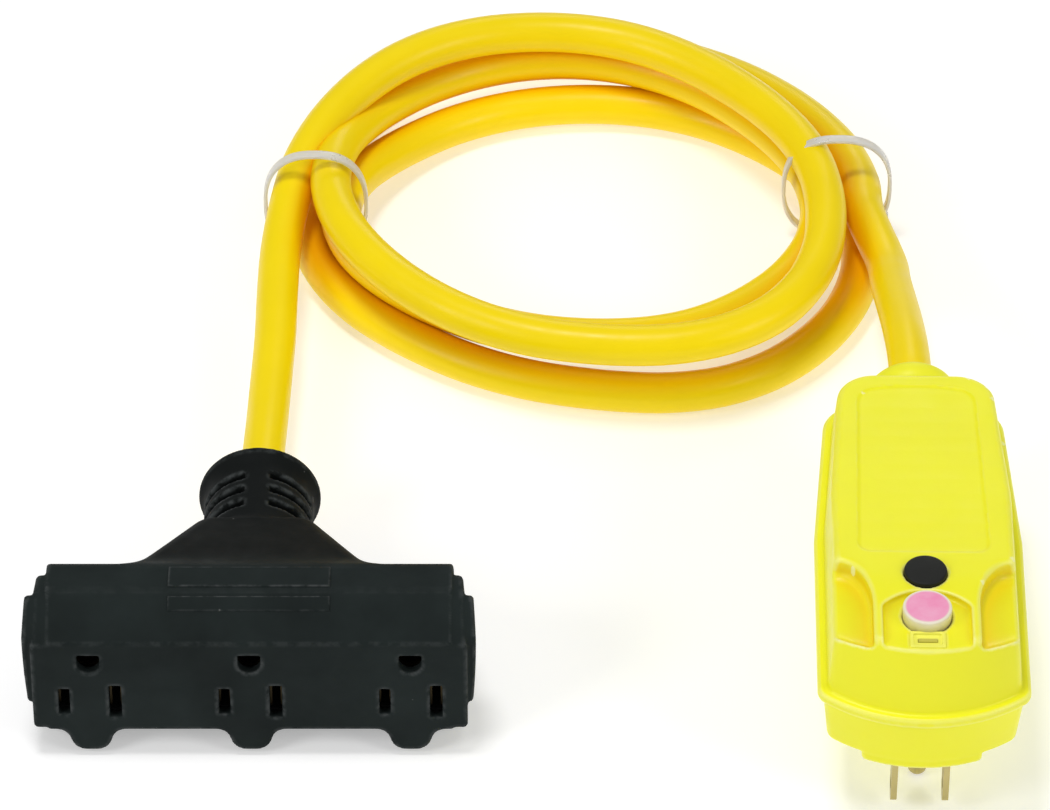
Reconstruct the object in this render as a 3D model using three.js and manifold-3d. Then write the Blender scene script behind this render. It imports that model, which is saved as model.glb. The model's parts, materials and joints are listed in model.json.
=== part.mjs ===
// A 6 ft ground-fault cord set: a right-angle GFCI plug, a round three-core cord wound into a coil
// and held by two cable ties, and a moulded tap with three grounded outlets.
// Millimetres, +Z up. The origin is on the table, under the middle of the two housings.
import * as THREE from "three";
import { mergeVertices } from "three/addons/utils/BufferGeometryUtils.js";
import Module from "manifold-3d";

const wasm = await Module();
wasm.setup();

// ---------------------------------------------------------------- driving dimensions

const GAP = 0.3; // clearance between neighbouring pieces
const CORD_RADIUS = 5.5; // 12 AWG three-core jacketed cord
const CORE_RADIUS = 1.6; // one insulated conductor
const CORD_BORE = CORD_RADIUS + GAP;

// The plug stands on its ground pin with the blades down and its cord leaving towards +Y.
const PLUG = { x: 97.062, y: -50.127, heading: THREE.MathUtils.degToRad(-1) };
const BLADE = { spacing: 12.7, width: 6.35, thickness: 1.5, length: 15.9 };
const PIN = { radius: 2.4, length: 19.05, behindBlades: 11.9 };
const MATING_Z = PIN.length;
const PLAN = {
  halfWidth: 26, // at the flange
  frontY: -9.9, // middle of the bowed front
  frontRadius: 40,
  taperY: 54, // the sides draw in from here to the cord end
  rearHalfWidth: 23.2,
  rearY: 104.5,
  rearCorner: 11,
};
const BASE = { floorZ: 21.3, topZ: 36, wall: 2, bossHalfWidth: 14.7, bossRearY: 17.5 };
const COVER = {
  flangeZ: 36.3,
  ledgeZ: 39.1,
  ledge: 2.3,
  deckZ: 57, // recess between the ribs
  plateauZ: 58.6,
  slopeY: 20, // the plateau falls from here to the cord end
  slope: 0.0866,
  scoopZ: 53.9,
  roofZ: 60.5, // height at which the drafted walls are laid out
  ceilingZ: 51.5,
  wall: 2.2,
};
const RIB = { inner: 10.7, outer: 13, straightY: 11.2, sweepX: 8.5, sweepY: 15.5 };
const DECK_ARC = { radius: 13.6, y: 2.2 };
const TEST = { y: 21.9, radius: 5.2, topZ: 59.6 };
const RESET = { y: 8.2, radius: 5.9, topZ: 60.3 };
const WINDOW = { halfX: 3.9, frontY: -2.2, rearY: 2.1, slotHalfX: 2.6, slotHalfY: 0.85 };
const BOARD = { bottomZ: 30, topZ: 31.6, halfX: 15.9, frontY: -1, rearY: 80 };
const FRAME_PLATE = { bottomZ: 41.9, topZ: 43.4, halfX: 14.4, frontY: 0.4, rearY: 26.4 };
const SPRING_TOP_Z = 49.2;
const BUTTON_FLANGE_Z = 49.5;
const SOLENOID = { z: 40.2, frontY: 34, rearY: 54, flange: 8, bore: 2.6 };
const SENSE = { z: 40.2, outer: 8, inner: 4.4, frontY: 60, thick: 6, pitch: 7.5 };
const LATCH = { forkY: 29, windowFrontY: 4.5 };
const COVER_SCREWS = [
  [-19.3, 14],
  [19.3, 14],
  [-17.6, 86],
  [17.6, 86],
];
const CLAMP = { frontY: 89, rearY: 94, screwX: 9.5 };
const CORD_Z = 37.5; // height of the cord where it leaves the plug
const BUSH = { radius: 11, tipRadius: 9.6, frontY: 102.8, tipY: 110, neck: 7.7 };

// The tap rests on its lower rear edge and on the rim of its strain relief, nose up.
const TAP = { x: -68, y: -30.7, z: 22.002, pitch: THREE.MathUtils.degToRad(-4.8) };
const BAR = { halfX: 50.4, faceHalfZ: 13.6, topZ: 23, bottomZ: 20.4, chamferY: 9.7, topRearY: 20, rearY: 30.5 };
const END_STEP = { halfX: 53.9, rearHalfX: 52.7, rearY: 17 };
const END_PAD = { halfX: 56.1, rearHalfX: 55, rearY: 19 };
const OUTLET = { pitch: 39.7, groundZ: 6.9, slotZ: -5, slotSpacing: 12.7 };
const GROUND_HOLE = { halfWidth: 2.8, top: 2.2 };
const LINE_SLOT = { width: 2.6, height: 7.1 };
const NEUTRAL_SLOT = { width: 2.8, height: 8.9 };
const LABEL_PAD = { low: [-20, 10.7, 22.8], high: [20, 18.3, 23.4] }; // left blank
const POCKET = { halfX: 48, frontY: 3, rearY: 19, lowZ: -12.6, highZ: 12.3 };
const NECK = { startY: 19.5, endY: 50.5, startHalfX: 34.7, endHalfX: 18.2, endZ: 14.2 };
const SLEEVE = { radius: 14, frontY: 50.8, rearY: 72, rimY: 77, rimRadius: 15.6 };
const SLEEVE_SLOTS = { rows: [56.7, 62.2, 67.7], width: 2.2, floor: 9.5, from: 12, to: 78 };

// The coil: three and a half turns, laid out about this centre.
const COIL = { x: 16, y: 160, inner: 60, outer: 84, lowZ: 1.9, highZ: 33.2, edge: 6 };
const TIE = { thickness: 1.2, width: 2.6, lowZ: 0, highZ: 34.8, corner: 7, headZ: 4 };
const TIES = [
  { name: "cable_tie_left", x: -56, y: 160, halfX: 13.8 },
  { name: "cable_tie_right", x: 86.5, y: 167, halfX: 16.4 },
];

// Hand-laid routes of the stretches that aren't coiled, from each housing to the coil.
const TAP_LEAD = [
  [-68, 14.14, 18.23],
  [-68, 31.08, 16.81],
  [-68, 48.02, 15.39],
  [-67.8, 60, 14.5],
  [-67.2, 76, 13.8],
  [-66.6, 92, 14],
  [-66, 108, 14.8],
  [-65.4, 124, 16],
  [-64.4, 140, 17.4],
];
const PLUG_LEAD = [
  [98.62, 37, 37.5],
  [98.9, 60.2, 37.5],
  [99.1, 70, 37],
  [98.9, 82, 35],
  [98.4, 95, 31.2],
  [97.7, 108, 26.8],
  [96.9, 121, 22.6],
  [96.3, 134, 19],
];

// ---------------------------------------------------------------- solids

// A closed three.js geometry as a manifold solid.
function solid(geometry) {
  const bare = geometry.index ? geometry.toNonIndexed() : geometry.clone();
  bare.deleteAttribute("normal");
  bare.deleteAttribute("uv");
  const merged = mergeVertices(bare, 1e-4);
  return new wasm.Manifold(
    new wasm.Mesh({
      numProp: 3,
      vertProperties: merged.attributes.position.array,
      triVerts: new Uint32Array(merged.index.array),
    }),
  );
}

// A manifold solid as a three.js geometry.
function geometryOf(body) {
  const mesh = body.getMesh();
  const geometry = new THREE.BufferGeometry();
  geometry.setAttribute("position", new THREE.BufferAttribute(mesh.vertProperties, 3));
  geometry.setIndex(new THREE.BufferAttribute(mesh.triVerts, 1));
  return geometry;
}

const join = (first, ...rest) => rest.reduce((all, next) => all.add(next), first);
const cut = (body, ...tools) => tools.reduce((left, tool) => left.subtract(tool), body);

// A box from its lowest to its highest corner.
function box([x0, y0, z0], [x1, y1, z1]) {
  const shape = new THREE.BoxGeometry(x1 - x0, y1 - y0, z1 - z0);
  return solid(shape.translate((x0 + x1) / 2, (y0 + y1) / 2, (z0 + z1) / 2));
}

// A round bar or cone between two points.
function rod(from, to, radius, endRadius = radius, sides = 20) {
  const a = new THREE.Vector3(...from);
  const b = new THREE.Vector3(...to);
  const along = b.clone().sub(a);
  const shape = new THREE.CylinderGeometry(endRadius, radius, along.length(), sides);
  const turn = new THREE.Quaternion().setFromUnitVectors(
    new THREE.Vector3(0, 1, 0),
    along.normalize(),
  );
  const middle = a.add(b).multiplyScalar(0.5);
  return solid(shape.applyQuaternion(turn).translate(middle.x, middle.y, middle.z));
}

// A washer or pipe between two points.
const pipe = (from, to, radius, bore, sides = 24) =>
  cut(rod(from, to, radius, radius, sides), rod(from, to, bore, bore, sides));

// An outline of [x, y] points, raised from z0 to z1.
function prism(outline, z0, z1) {
  const shape = new THREE.Shape(outline.map(([x, y]) => new THREE.Vector2(x, y)));
  const geometry = new THREE.ExtrudeGeometry(shape, { depth: z1 - z0, bevelEnabled: false });
  return solid(geometry.translate(0, 0, z0));
}

// An outline of [y, z] points, carried from x0 to x1.
function prismX(outline, x0, x1) {
  const shape = new THREE.Shape(outline.map(([y, z]) => new THREE.Vector2(y, z)));
  const geometry = new THREE.ExtrudeGeometry(shape, { depth: x1 - x0, bevelEnabled: false });
  const axes = new THREE.Matrix4().set(0, 0, 1, x0, 1, 0, 0, 0, 0, 1, 0, 0, 0, 0, 0, 1);
  return solid(geometry.applyMatrix4(axes));
}

// An outline of [x, z] points, carried from y0 to y1.
function prismY(outline, y0, y1) {
  const shape = new THREE.Shape(outline.map(([x, z]) => new THREE.Vector2(x, z)));
  const geometry = new THREE.ExtrudeGeometry(shape, { depth: y1 - y0, bevelEnabled: false });
  return solid(geometry.rotateX(Math.PI / 2).translate(0, y1, 0));
}

// A body through rings of points, each ring with as many points as the next.
function loft(rings) {
  const count = rings[0].length;
  const points = rings.flat().map((p) => new THREE.Vector3(...p));
  const faces = [];
  rings.slice(1).forEach((_, level) => {
    for (let i = 0; i < count; i++) {
      const a = level * count + i;
      const b = level * count + ((i + 1) % count);
      faces.push(a, b, b + count, a, b + count, a + count);
    }
  });
  const flat = flatRing(rings[0]);
  const last = (rings.length - 1) * count;
  for (const [a, b, c] of THREE.ShapeUtils.triangulateShape(flat, [])) {
    faces.push(a, c, b);
    faces.push(last + a, last + b, last + c);
  }
  const geometry = new THREE.BufferGeometry().setFromPoints(points);
  geometry.setIndex(faces);
  return solid(geometry);
}

// A ring's flat coordinates: x and y on a level ring, x and -z on an upright one.
function flatRing(ring) {
  const level = ring.every(([, , z]) => Math.abs(z - ring[0][2]) < 1e-6);
  return ring.map(([x, y, z]) => new THREE.Vector2(x, level ? y : -z));
}

// A round tube through points.
function tube(points, radius, steps, sides = 10) {
  const curve = new THREE.CatmullRomCurve3(points.map((p) => new THREE.Vector3(...p)));
  const section = new THREE.Shape();
  for (let i = 0; i < sides; i++) {
    const angle = (2 * Math.PI * i) / sides;
    const [x, y] = [radius * Math.cos(angle), radius * Math.sin(angle)];
    if (i) section.lineTo(x, y);
    else section.moveTo(x, y);
  }
  return solid(new THREE.ExtrudeGeometry(section, { steps, extrudePath: curve }));
}

// A coil spring about the Z axis through [x, y].
function springZ([x, y], z0, z1, radius, wire, turns) {
  const points = [];
  const perTurn = 8;
  for (let i = 0; i <= turns * perTurn; i++) {
    const angle = (2 * Math.PI * i) / perTurn;
    const z = z0 + wire + ((z1 - z0 - 2 * wire) * i) / (turns * perTurn);
    points.push([x + radius * Math.cos(angle), y + radius * Math.sin(angle), z]);
  }
  return tube(points, wire, turns * 9, 5);
}

const mirrorX = (outline) => outline.map(([x, y]) => [-x, y]).reverse();

// ---------------------------------------------------------------- finishes

const finish = (color, roughness, metalness = 0) =>
  new THREE.MeshStandardMaterial({ color, roughness, metalness });
const PLUG_YELLOW = finish(0xe9e62a, 0.38);
const CORD_YELLOW = finish(0xf2c21b, 0.45);
const TAP_BLACK = finish(0x26292b, 0.6);
const NYLON_BLACK = finish(0x15161a, 0.4);
const RESET_WHITE = finish(0xe9d9dc, 0.4);
const BRASS = finish(0xc8a24a, 0.3, 1);
const STEEL = finish(0xb8bcc0, 0.3, 1);
const COPPER = finish(0xb4682d, 0.35, 1);
const BOARD_GREEN = finish(0x1d6b3a, 0.5);
const NATURAL_NYLON = finish(0xdedbcf, 0.5);
const CLEAR_NYLON = finish(0xe8e6df, 0.35);
const CORE_BLACK = finish(0x1b1b1b, 0.5);
const CORE_WHITE = finish(0xe6e6e2, 0.5);
const CORE_GREEN = finish(0x1f7f3f, 0.5);
const PART_BLUE = finish(0x2a4fa0, 0.5);

function piece(group, name, body, material) {
  const mesh = new THREE.Mesh(geometryOf(body), material);
  mesh.name = name;
  group.add(mesh);
}

// ---------------------------------------------------------------- plug housing

// The plug's plan, drawn in by side, front and rear insets: bowed front, tapering sides, round rear corners.
function plugPlan(side, front = side, rear = side) {
  const radius = PLAN.frontRadius - front;
  const halfWidth = PLAN.halfWidth - side;
  const centreY = PLAN.frontY + PLAN.frontRadius;
  const corner = Math.asin(halfWidth / radius);
  const outline = [];
  const frontSteps = 12;
  for (let i = 0; i <= frontSteps; i++) {
    const angle = corner * ((2 * i) / frontSteps - 1);
    outline.push([radius * Math.sin(angle), centreY - radius * Math.cos(angle)]);
  }
  const rearHalf = PLAN.rearHalfWidth - side;
  const round = PLAN.rearCorner - rear;
  const right = [[halfWidth, PLAN.taperY]];
  const cornerSteps = 5;
  for (let i = 0; i <= cornerSteps; i++) {
    const angle = (Math.PI / 2) * (i / cornerSteps);
    right.push([
      rearHalf - round + round * Math.cos(angle),
      PLAN.rearY - rear - round + round * Math.sin(angle),
    ]);
  }
  return [...outline, ...right, ...mirrorX(right)];
}

const planAt = (z, ...insets) => plugPlan(...insets).map(([x, y]) => [x, y, z]);

// Everything above the plateau, which is level at the buttons and falls to the cord end.
function aboveRoof(lowered = 0) {
  const front = COVER.plateauZ - lowered;
  const farY = 120;
  const rear = front - COVER.slope * (farY - COVER.slopeY);
  const skyZ = 80;
  const outline = [
    [-30, front],
    [COVER.slopeY, front],
    [farY, rear],
    [farY, skyZ],
    [-30, skyZ],
  ];
  return prismX(outline, -40, 40);
}

// The finger recess outside the right-hand rib.
function scoopOutline() {
  const outline = [[RIB.outer, -20]];
  const steps = 7;
  for (let i = 0; i <= steps; i++) {
    const angle = (Math.PI / 2) * (i / steps);
    outline.push([
      RIB.outer + RIB.sweepX * (1 - Math.cos(angle)),
      RIB.straightY + RIB.sweepY * Math.sin(angle),
    ]);
  }
  outline.push([35, RIB.straightY + RIB.sweepY], [35, -20]);
  return outline.reverse();
}

// The recess between the ribs, closed by an arc behind the reset button.
function deckOutline() {
  const outline = [
    [-RIB.inner, -20],
    [RIB.inner, -20],
  ];
  const reach = Math.acos(RIB.inner / DECK_ARC.radius);
  const steps = 10;
  for (let i = 0; i <= steps; i++) {
    const angle = reach + (Math.PI - 2 * reach) * (i / steps);
    outline.push([
      DECK_ARC.radius * Math.cos(angle),
      DECK_ARC.y + DECK_ARC.radius * Math.sin(angle),
    ]);
  }
  return outline;
}

// Room for the strain relief in the rear walls of both shells.
const bushRoom = () =>
  join(
    rod([0, 90, CORD_Z], [0, 120, CORD_Z], BUSH.neck + GAP, BUSH.neck + GAP, 28),
    rod([0, BUSH.frontY - GAP, CORD_Z], [0, 120, CORD_Z], BUSH.radius + GAP, BUSH.radius + GAP, 28),
  );

const screwPost = ([x, y], z0, z1) => rod([x, y, z0], [x, y, z1], 3.1, 3.1, 12);

function plugCover() {
  const outside = loft([
    planAt(COVER.flangeZ, 0),
    planAt(COVER.ledgeZ, 0),
    planAt(COVER.ledgeZ, COVER.ledge),
    planAt(COVER.roofZ, 4.2, 6.4, 3),
  ]);
  const hollow = cut(
    loft([
      planAt(COVER.flangeZ - 1, COVER.ledge + COVER.wall),
      planAt(COVER.ceilingZ, COVER.ledge + COVER.wall + 1, 8, COVER.ledge + COVER.wall + 0.5),
    ]),
    aboveRoof(COVER.wall),
  );
  const posts = COVER_SCREWS.map((at) => screwPost(at, COVER.flangeZ, 49));
  const pilots = COVER_SCREWS.map(([x, y]) => rod([x, y, 35], [x, y, 46], 1.7, 1.7, 10));
  const shell = join(cut(outside, aboveRoof(), hollow), ...posts);
  return cut(
    shell,
    ...pilots,
    prism(deckOutline(), COVER.deckZ, 70),
    prism(scoopOutline(), COVER.scoopZ, 70),
    prism(mirrorX(scoopOutline()), COVER.scoopZ, 70),
    rod([0, TEST.y, 45], [0, TEST.y, 65], TEST.radius + GAP, TEST.radius + GAP, 28),
    rod([0, RESET.y, 45], [0, RESET.y, 65], RESET.radius + GAP, RESET.radius + GAP, 28),
    box([-WINDOW.halfX, WINDOW.frontY, 56.2], [WINDOW.halfX, WINDOW.rearY, 70]),
    box(
      [-WINDOW.slotHalfX, -WINDOW.slotHalfY, 45],
      [WINDOW.slotHalfX, WINDOW.slotHalfY, 70],
    ),
    bushRoom(),
  );
}

function bossOutline() {
  const outline = [];
  const radius = PLAN.frontRadius - 3.8;
  const centreY = PLAN.frontY + PLAN.frontRadius;
  const corner = Math.asin(BASE.bossHalfWidth / radius);
  const steps = 8;
  for (let i = 0; i <= steps; i++) {
    const angle = corner * ((2 * i) / steps - 1);
    outline.push([radius * Math.sin(angle), centreY - radius * Math.cos(angle)]);
  }
  outline.push([BASE.bossHalfWidth, BASE.bossRearY], [-BASE.bossHalfWidth, BASE.bossRearY]);
  return outline;
}

function plugBase() {
  const outside = loft([planAt(BASE.floorZ, 2.9, 3.8, 3.5), planAt(BASE.topZ, 1.5)]);
  const hollow = loft([
    planAt(BASE.floorZ + BASE.wall, 5, 6, 5.5),
    planAt(BASE.topZ + 1, 1.5 + BASE.wall),
  ]);
  const boardPosts = [
    [-12.5, 14.5],
    [12.5, 14.5],
    [-13, 74],
    [13, 74],
  ].map(([x, y]) => rod([x, y, 22], [x, y, BOARD.bottomZ - GAP], 2, 2, 10));
  const clampPosts = [-CLAMP.screwX, CLAMP.screwX].map((x) =>
    rod([x, 91.5, 22], [x, 91.5, CORD_Z + 0.7], 2.5, 2.5, 12),
  );
  const clampPilots = [-CLAMP.screwX, CLAMP.screwX].map((x) =>
    rod([x, 91.5, 28], [x, 91.5, 40], 1.5, 1.5, 10),
  );
  const screwPosts = COVER_SCREWS.map((at) => screwPost(at, BASE.floorZ, BASE.topZ));
  const screwHoles = COVER_SCREWS.flatMap(([x, y]) => [
    rod([x, y, 20], [x, y, 40], 1.7, 1.7, 12),
    rod([x, y, 20], [x, y, 24], 2.7, 2.7, 12),
  ]);
  const bladeHoles = [-1, 1].map((side) => {
    const x = (side * BLADE.spacing) / 2;
    const halfX = BLADE.thickness / 2 + GAP;
    const halfY = BLADE.width / 2 + GAP;
    return box([x - halfX, -halfY, 18], [x + halfX, halfY, 30]);
  });
  const shell = join(
    cut(outside, hollow),
    prism(bossOutline(), MATING_Z, BASE.floorZ + 0.5),
    ...boardPosts,
    ...clampPosts,
    ...screwPosts,
  );
  return cut(
    shell,
    ...bladeHoles,
    rod([0, PIN.behindBlades, 18], [0, PIN.behindBlades, 30], PIN.radius + GAP),
    ...screwHoles,
    ...clampPilots,
    bushRoom(),
  );
}

const coverScrew = ([x, y]) =>
  join(
    rod([x, y, 21.7], [x, y, 23.7], 2.4, 2.4, 14),
    rod([x, y, 23.5], [x, y, 44], 1.4, 1.4, 8),
  );

function plugStrainRelief() {
  const middle = (y, z = CORD_Z) => [0, y, z];
  const body = join(
    rod(middle(BUSH.frontY), middle(BUSH.tipY), BUSH.radius, BUSH.tipRadius, 28),
    rod(middle(97), middle(BUSH.frontY + 0.1), BUSH.neck, BUSH.neck, 28),
    rod(middle(96.8), middle(99.4), BUSH.neck + 1.6, BUSH.neck + 1.6, 28),
  );
  return cut(body, rod(middle(90), middle(115), CORD_BORE, CORD_BORE, 24));
}

// ---------------------------------------------------------------- plug contacts and pins

function blade(side) {
  const x = (side * BLADE.spacing) / 2;
  const half = BLADE.thickness / 2;
  const tipZ = MATING_Z - BLADE.length;
  const outline = [
    [-BLADE.width / 2 + 2, tipZ],
    [BLADE.width / 2 - 2, tipZ],
    [BLADE.width / 2, tipZ + 2.2],
    [BLADE.width / 2, 29],
    [-BLADE.width / 2, 29],
    [-BLADE.width / 2, tipZ + 2.2],
  ];
  const hole = rod([x - 2, 0, tipZ + 5], [x + 2, 0, tipZ + 5], 1.6, 1.6, 12);
  return cut(prismX(outline, x - half, x + half), hole);
}

function groundPin() {
  const profile = [[0, 27.5], [PIN.radius, 27.5], [PIN.radius, PIN.radius * 0.9]];
  const steps = 4;
  for (let i = 1; i <= steps; i++) {
    const angle = (Math.PI / 2) * (i / steps);
    profile.push([
      i === steps ? 0 : PIN.radius * Math.cos(angle),
      PIN.radius * 0.9 * (1 - Math.sin(angle)),
    ]);
  }
  const points = profile.reverse().map(([r, z]) => new THREE.Vector2(r, z));
  const turned = new THREE.LatheGeometry(points, 20).rotateX(Math.PI / 2);
  return solid(turned.translate(0, PIN.behindBlades, 0));
}

// A contact under the frame's plate, with its leg down to the blade.
function fixedContact(side) {
  const at = (x0, x1) => [Math.min(side * x0, side * x1), Math.max(side * x0, side * x1)];
  const [plateA, plateB] = at(7.6, 15.4);
  const [legA, legB] = at(14.6, 15.4);
  const [footA, footB] = at(7.4, 15.4);
  return join(
    box([plateA, 5, 41], [plateB, 11.4, 41.6]),
    rod([side * 11, RESET.y, 40.3], [side * 11, RESET.y, 41.2], 1.8, 2.1, 14),
    box([legA, 6, 26], [legB, 10, 41.5]),
    box([footA, 1, 26], [footB, 10, 26.8]),
  );
}

function movingContact(side) {
  const [a, b] = side < 0 ? [-14.2, -8] : [8, 14.2];
  return join(
    box([a, 4.2, 36.8], [b, 12.6, 37.4]),
    rod([side * 11, RESET.y, 37.3], [side * 11, RESET.y, 38], 2.1, 1.8, 14),
  );
}

// ---------------------------------------------------------------- plug mechanism

function button({ y, radius, topZ }, flange, stem, stemZ, catchRadius) {
  const edge = 0.6;
  return join(
    rod([0, y, stemZ], [0, y, stemZ + 1], catchRadius, catchRadius, 12),
    rod([0, y, BUTTON_FLANGE_Z + 1.5], [0, y, topZ - edge], radius, radius, 28),
    rod([0, y, topZ - edge - 0.01], [0, y, topZ], radius, radius - edge, 28),
    rod([0, y, BUTTON_FLANGE_Z], [0, y, BUTTON_FLANGE_Z + 1.7], flange, flange, 24),
    rod([0, y, stemZ], [0, y, BUTTON_FLANGE_Z + 0.1], stem, stem, 12),
  );
}

// The moulded frame over the board that guides the buttons and holds the fixed contacts.
function mechanismFrame() {
  const { bottomZ, topZ, halfX, frontY, rearY } = FRAME_PLATE;
  const corners = [
    [-halfX, frontY],
    [halfX - 2, frontY],
    [-halfX, rearY - 2.2],
    [halfX - 2, rearY - 2.2],
  ];
  const legs = corners.map(([x, y]) =>
    box([x, y, BOARD.topZ + GAP], [x + 2, y + 2, bottomZ + 0.1]),
  );
  return cut(
    join(box([-halfX, frontY, bottomZ], [halfX, rearY, topZ]), ...legs),
    rod([0, RESET.y, 40], [0, RESET.y, 45], 2.3, 2.3, 14),
    rod([0, TEST.y, 40], [0, TEST.y, 45], 2, 2, 14),
  );
}

function contactCarrier() {
  const bar = box([-14.2, 3.8, 34.5], [14.2, 12.6, 36.5]);
  return cut(bar, rod([0, RESET.y, 34], [0, RESET.y, 37], 2.3, 2.3, 14));
}

// The sliding plate that catches the reset stem, with a fork round the solenoid's plunger.
function latchPlate() {
  const z0 = 33;
  const z1 = 33.8;
  const forkY = LATCH.forkY;
  const arm = (side) => {
    const [a, b] = side < 0 ? [-4.2, -2.6] : [2.6, 4.2];
    return box([a, forkY, z0], [b, forkY + 0.6, 41]);
  };
  return cut(
    join(
      box([-8, 3.5, z0], [4, 13, z1]),
      box([-8, 12.9, z0], [-5, forkY + 0.6, z1]),
      box([-8, forkY, z0], [4.2, forkY + 0.6, 35.6]),
      arm(-1),
      arm(1),
    ),
    box([-2.2, LATCH.windowFrontY, 32], [2.2, LATCH.windowFrontY + 5.9, 35]),
  );
}

const onSolenoidAxis = (y) => [0, y, SOLENOID.z];

function solenoidBobbin() {
  const { frontY, rearY, flange, bore } = SOLENOID;
  const body = join(
    rod(onSolenoidAxis(frontY), onSolenoidAxis(frontY + 1.5), flange, flange, 28),
    rod(onSolenoidAxis(frontY), onSolenoidAxis(rearY), 3.6, 3.6, 20),
    rod(onSolenoidAxis(rearY - 1.5), onSolenoidAxis(rearY), flange, flange, 28),
  );
  return cut(body, rod(onSolenoidAxis(frontY - 1), onSolenoidAxis(rearY + 1), bore));
}

function solenoidPlunger() {
  const headY = LATCH.forkY - 1.3;
  return join(
    rod(onSolenoidAxis(headY), onSolenoidAxis(SOLENOID.rearY - 3), 2.2, 2.2, 16),
    rod(onSolenoidAxis(headY), onSolenoidAxis(headY + 1), 3.4, 3.4, 18),
  );
}

function plungerSpring() {
  const frontY = LATCH.forkY + 0.9;
  const upright = springZ([0, 0], 0, SOLENOID.frontY - GAP - frontY, 2.9, 0.3, 4);
  const turned = geometryOf(upright).rotateX(-Math.PI / 2);
  return solid(turned.translate(0, frontY, SOLENOID.z));
}

function circuitBoard() {
  const { bottomZ, topZ, halfX, frontY, rearY } = BOARD;
  const legSlots = [-1, 1].map((side) =>
    box([side * 15.9 - 1.6, 5.6, 29], [side * 15.9 + 1.6, 10.4, 33]),
  );
  return cut(
    box([-halfX, frontY, bottomZ], [halfX, rearY, topZ]),
    ...legSlots,
    rod([0, RESET.y, 29], [0, RESET.y, 33], 2.6, 2.6, 14),
  );
}

function testContact() {
  return join(
    box([-1.5, 20.5, 33.9], [8.4, 23.3, 34.3]),
    box([6.4, 20.5, BOARD.topZ + GAP], [8.4, 23.3, 34]),
  );
}

function senseCoil(index) {
  const y = SENSE.frontY + index * SENSE.pitch;
  return pipe([0, y, SENSE.z], [0, y + SENSE.thick, SENSE.z], SENSE.outer, SENSE.inner, 28);
}

function cordClamp() {
  const { frontY, rearY, screwX } = CLAMP;
  const holes = [-screwX, screwX].map((x) => rod([x, 91.5, 35], [x, 91.5, 50], 1.5, 1.5, 10));
  return cut(
    box([-13, frontY, CORD_Z + 1], [13, rearY, 45.5]),
    rod([0, 80, CORD_Z], [0, 100, CORD_Z], CORD_BORE, CORD_BORE, 24),
    ...holes,
  );
}

const clampScrew = (x) =>
  join(
    rod([x, 91.5, 45.8], [x, 91.5, 47.4], 2.4, 2.4, 14),
    rod([x, 91.5, 31], [x, 91.5, 46], 1.2, 1.2, 8),
  );

// A conductor from the cord through both sense coils and past the solenoid to its contact.
const loadConductor = (side) =>
  tube(
    [
      [side * 2.1, 86, 38.6],
      [side * 2.1, 80, 39.8],
      [side * 2.1, 73, SENSE.z],
      [side * 2.1, 61, SENSE.z],
      [side * 3.6, 58.2, 39.6],
      [side * 8.5, 56.2, 37.8],
      [side * 11.4, 53, 36.4],
      [side * 11.6, 48, 36],
      [side * 11.2, 36, 36.3],
      [side * 10.3, 28, 36.8],
      [side * 10.3, 20, 37.1],
      [side * 10.8, 13.4, 37.1],
    ],
    CORE_RADIUS,
    30,
    8,
  );

const groundConductor = () =>
  tube(
    [
      [0, 85.6, 34.4],
      [0.6, 83, 31],
      [2, 79.5, 27.4],
      [5.5, 72, 26.4],
      [6.5, 60, 26.4],
      [6.5, 40, 26.4],
      [6, 24, 26.4],
      [4.6, 16, 26.4],
    ],
    CORE_RADIUS,
    26,
    8,
  );

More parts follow.
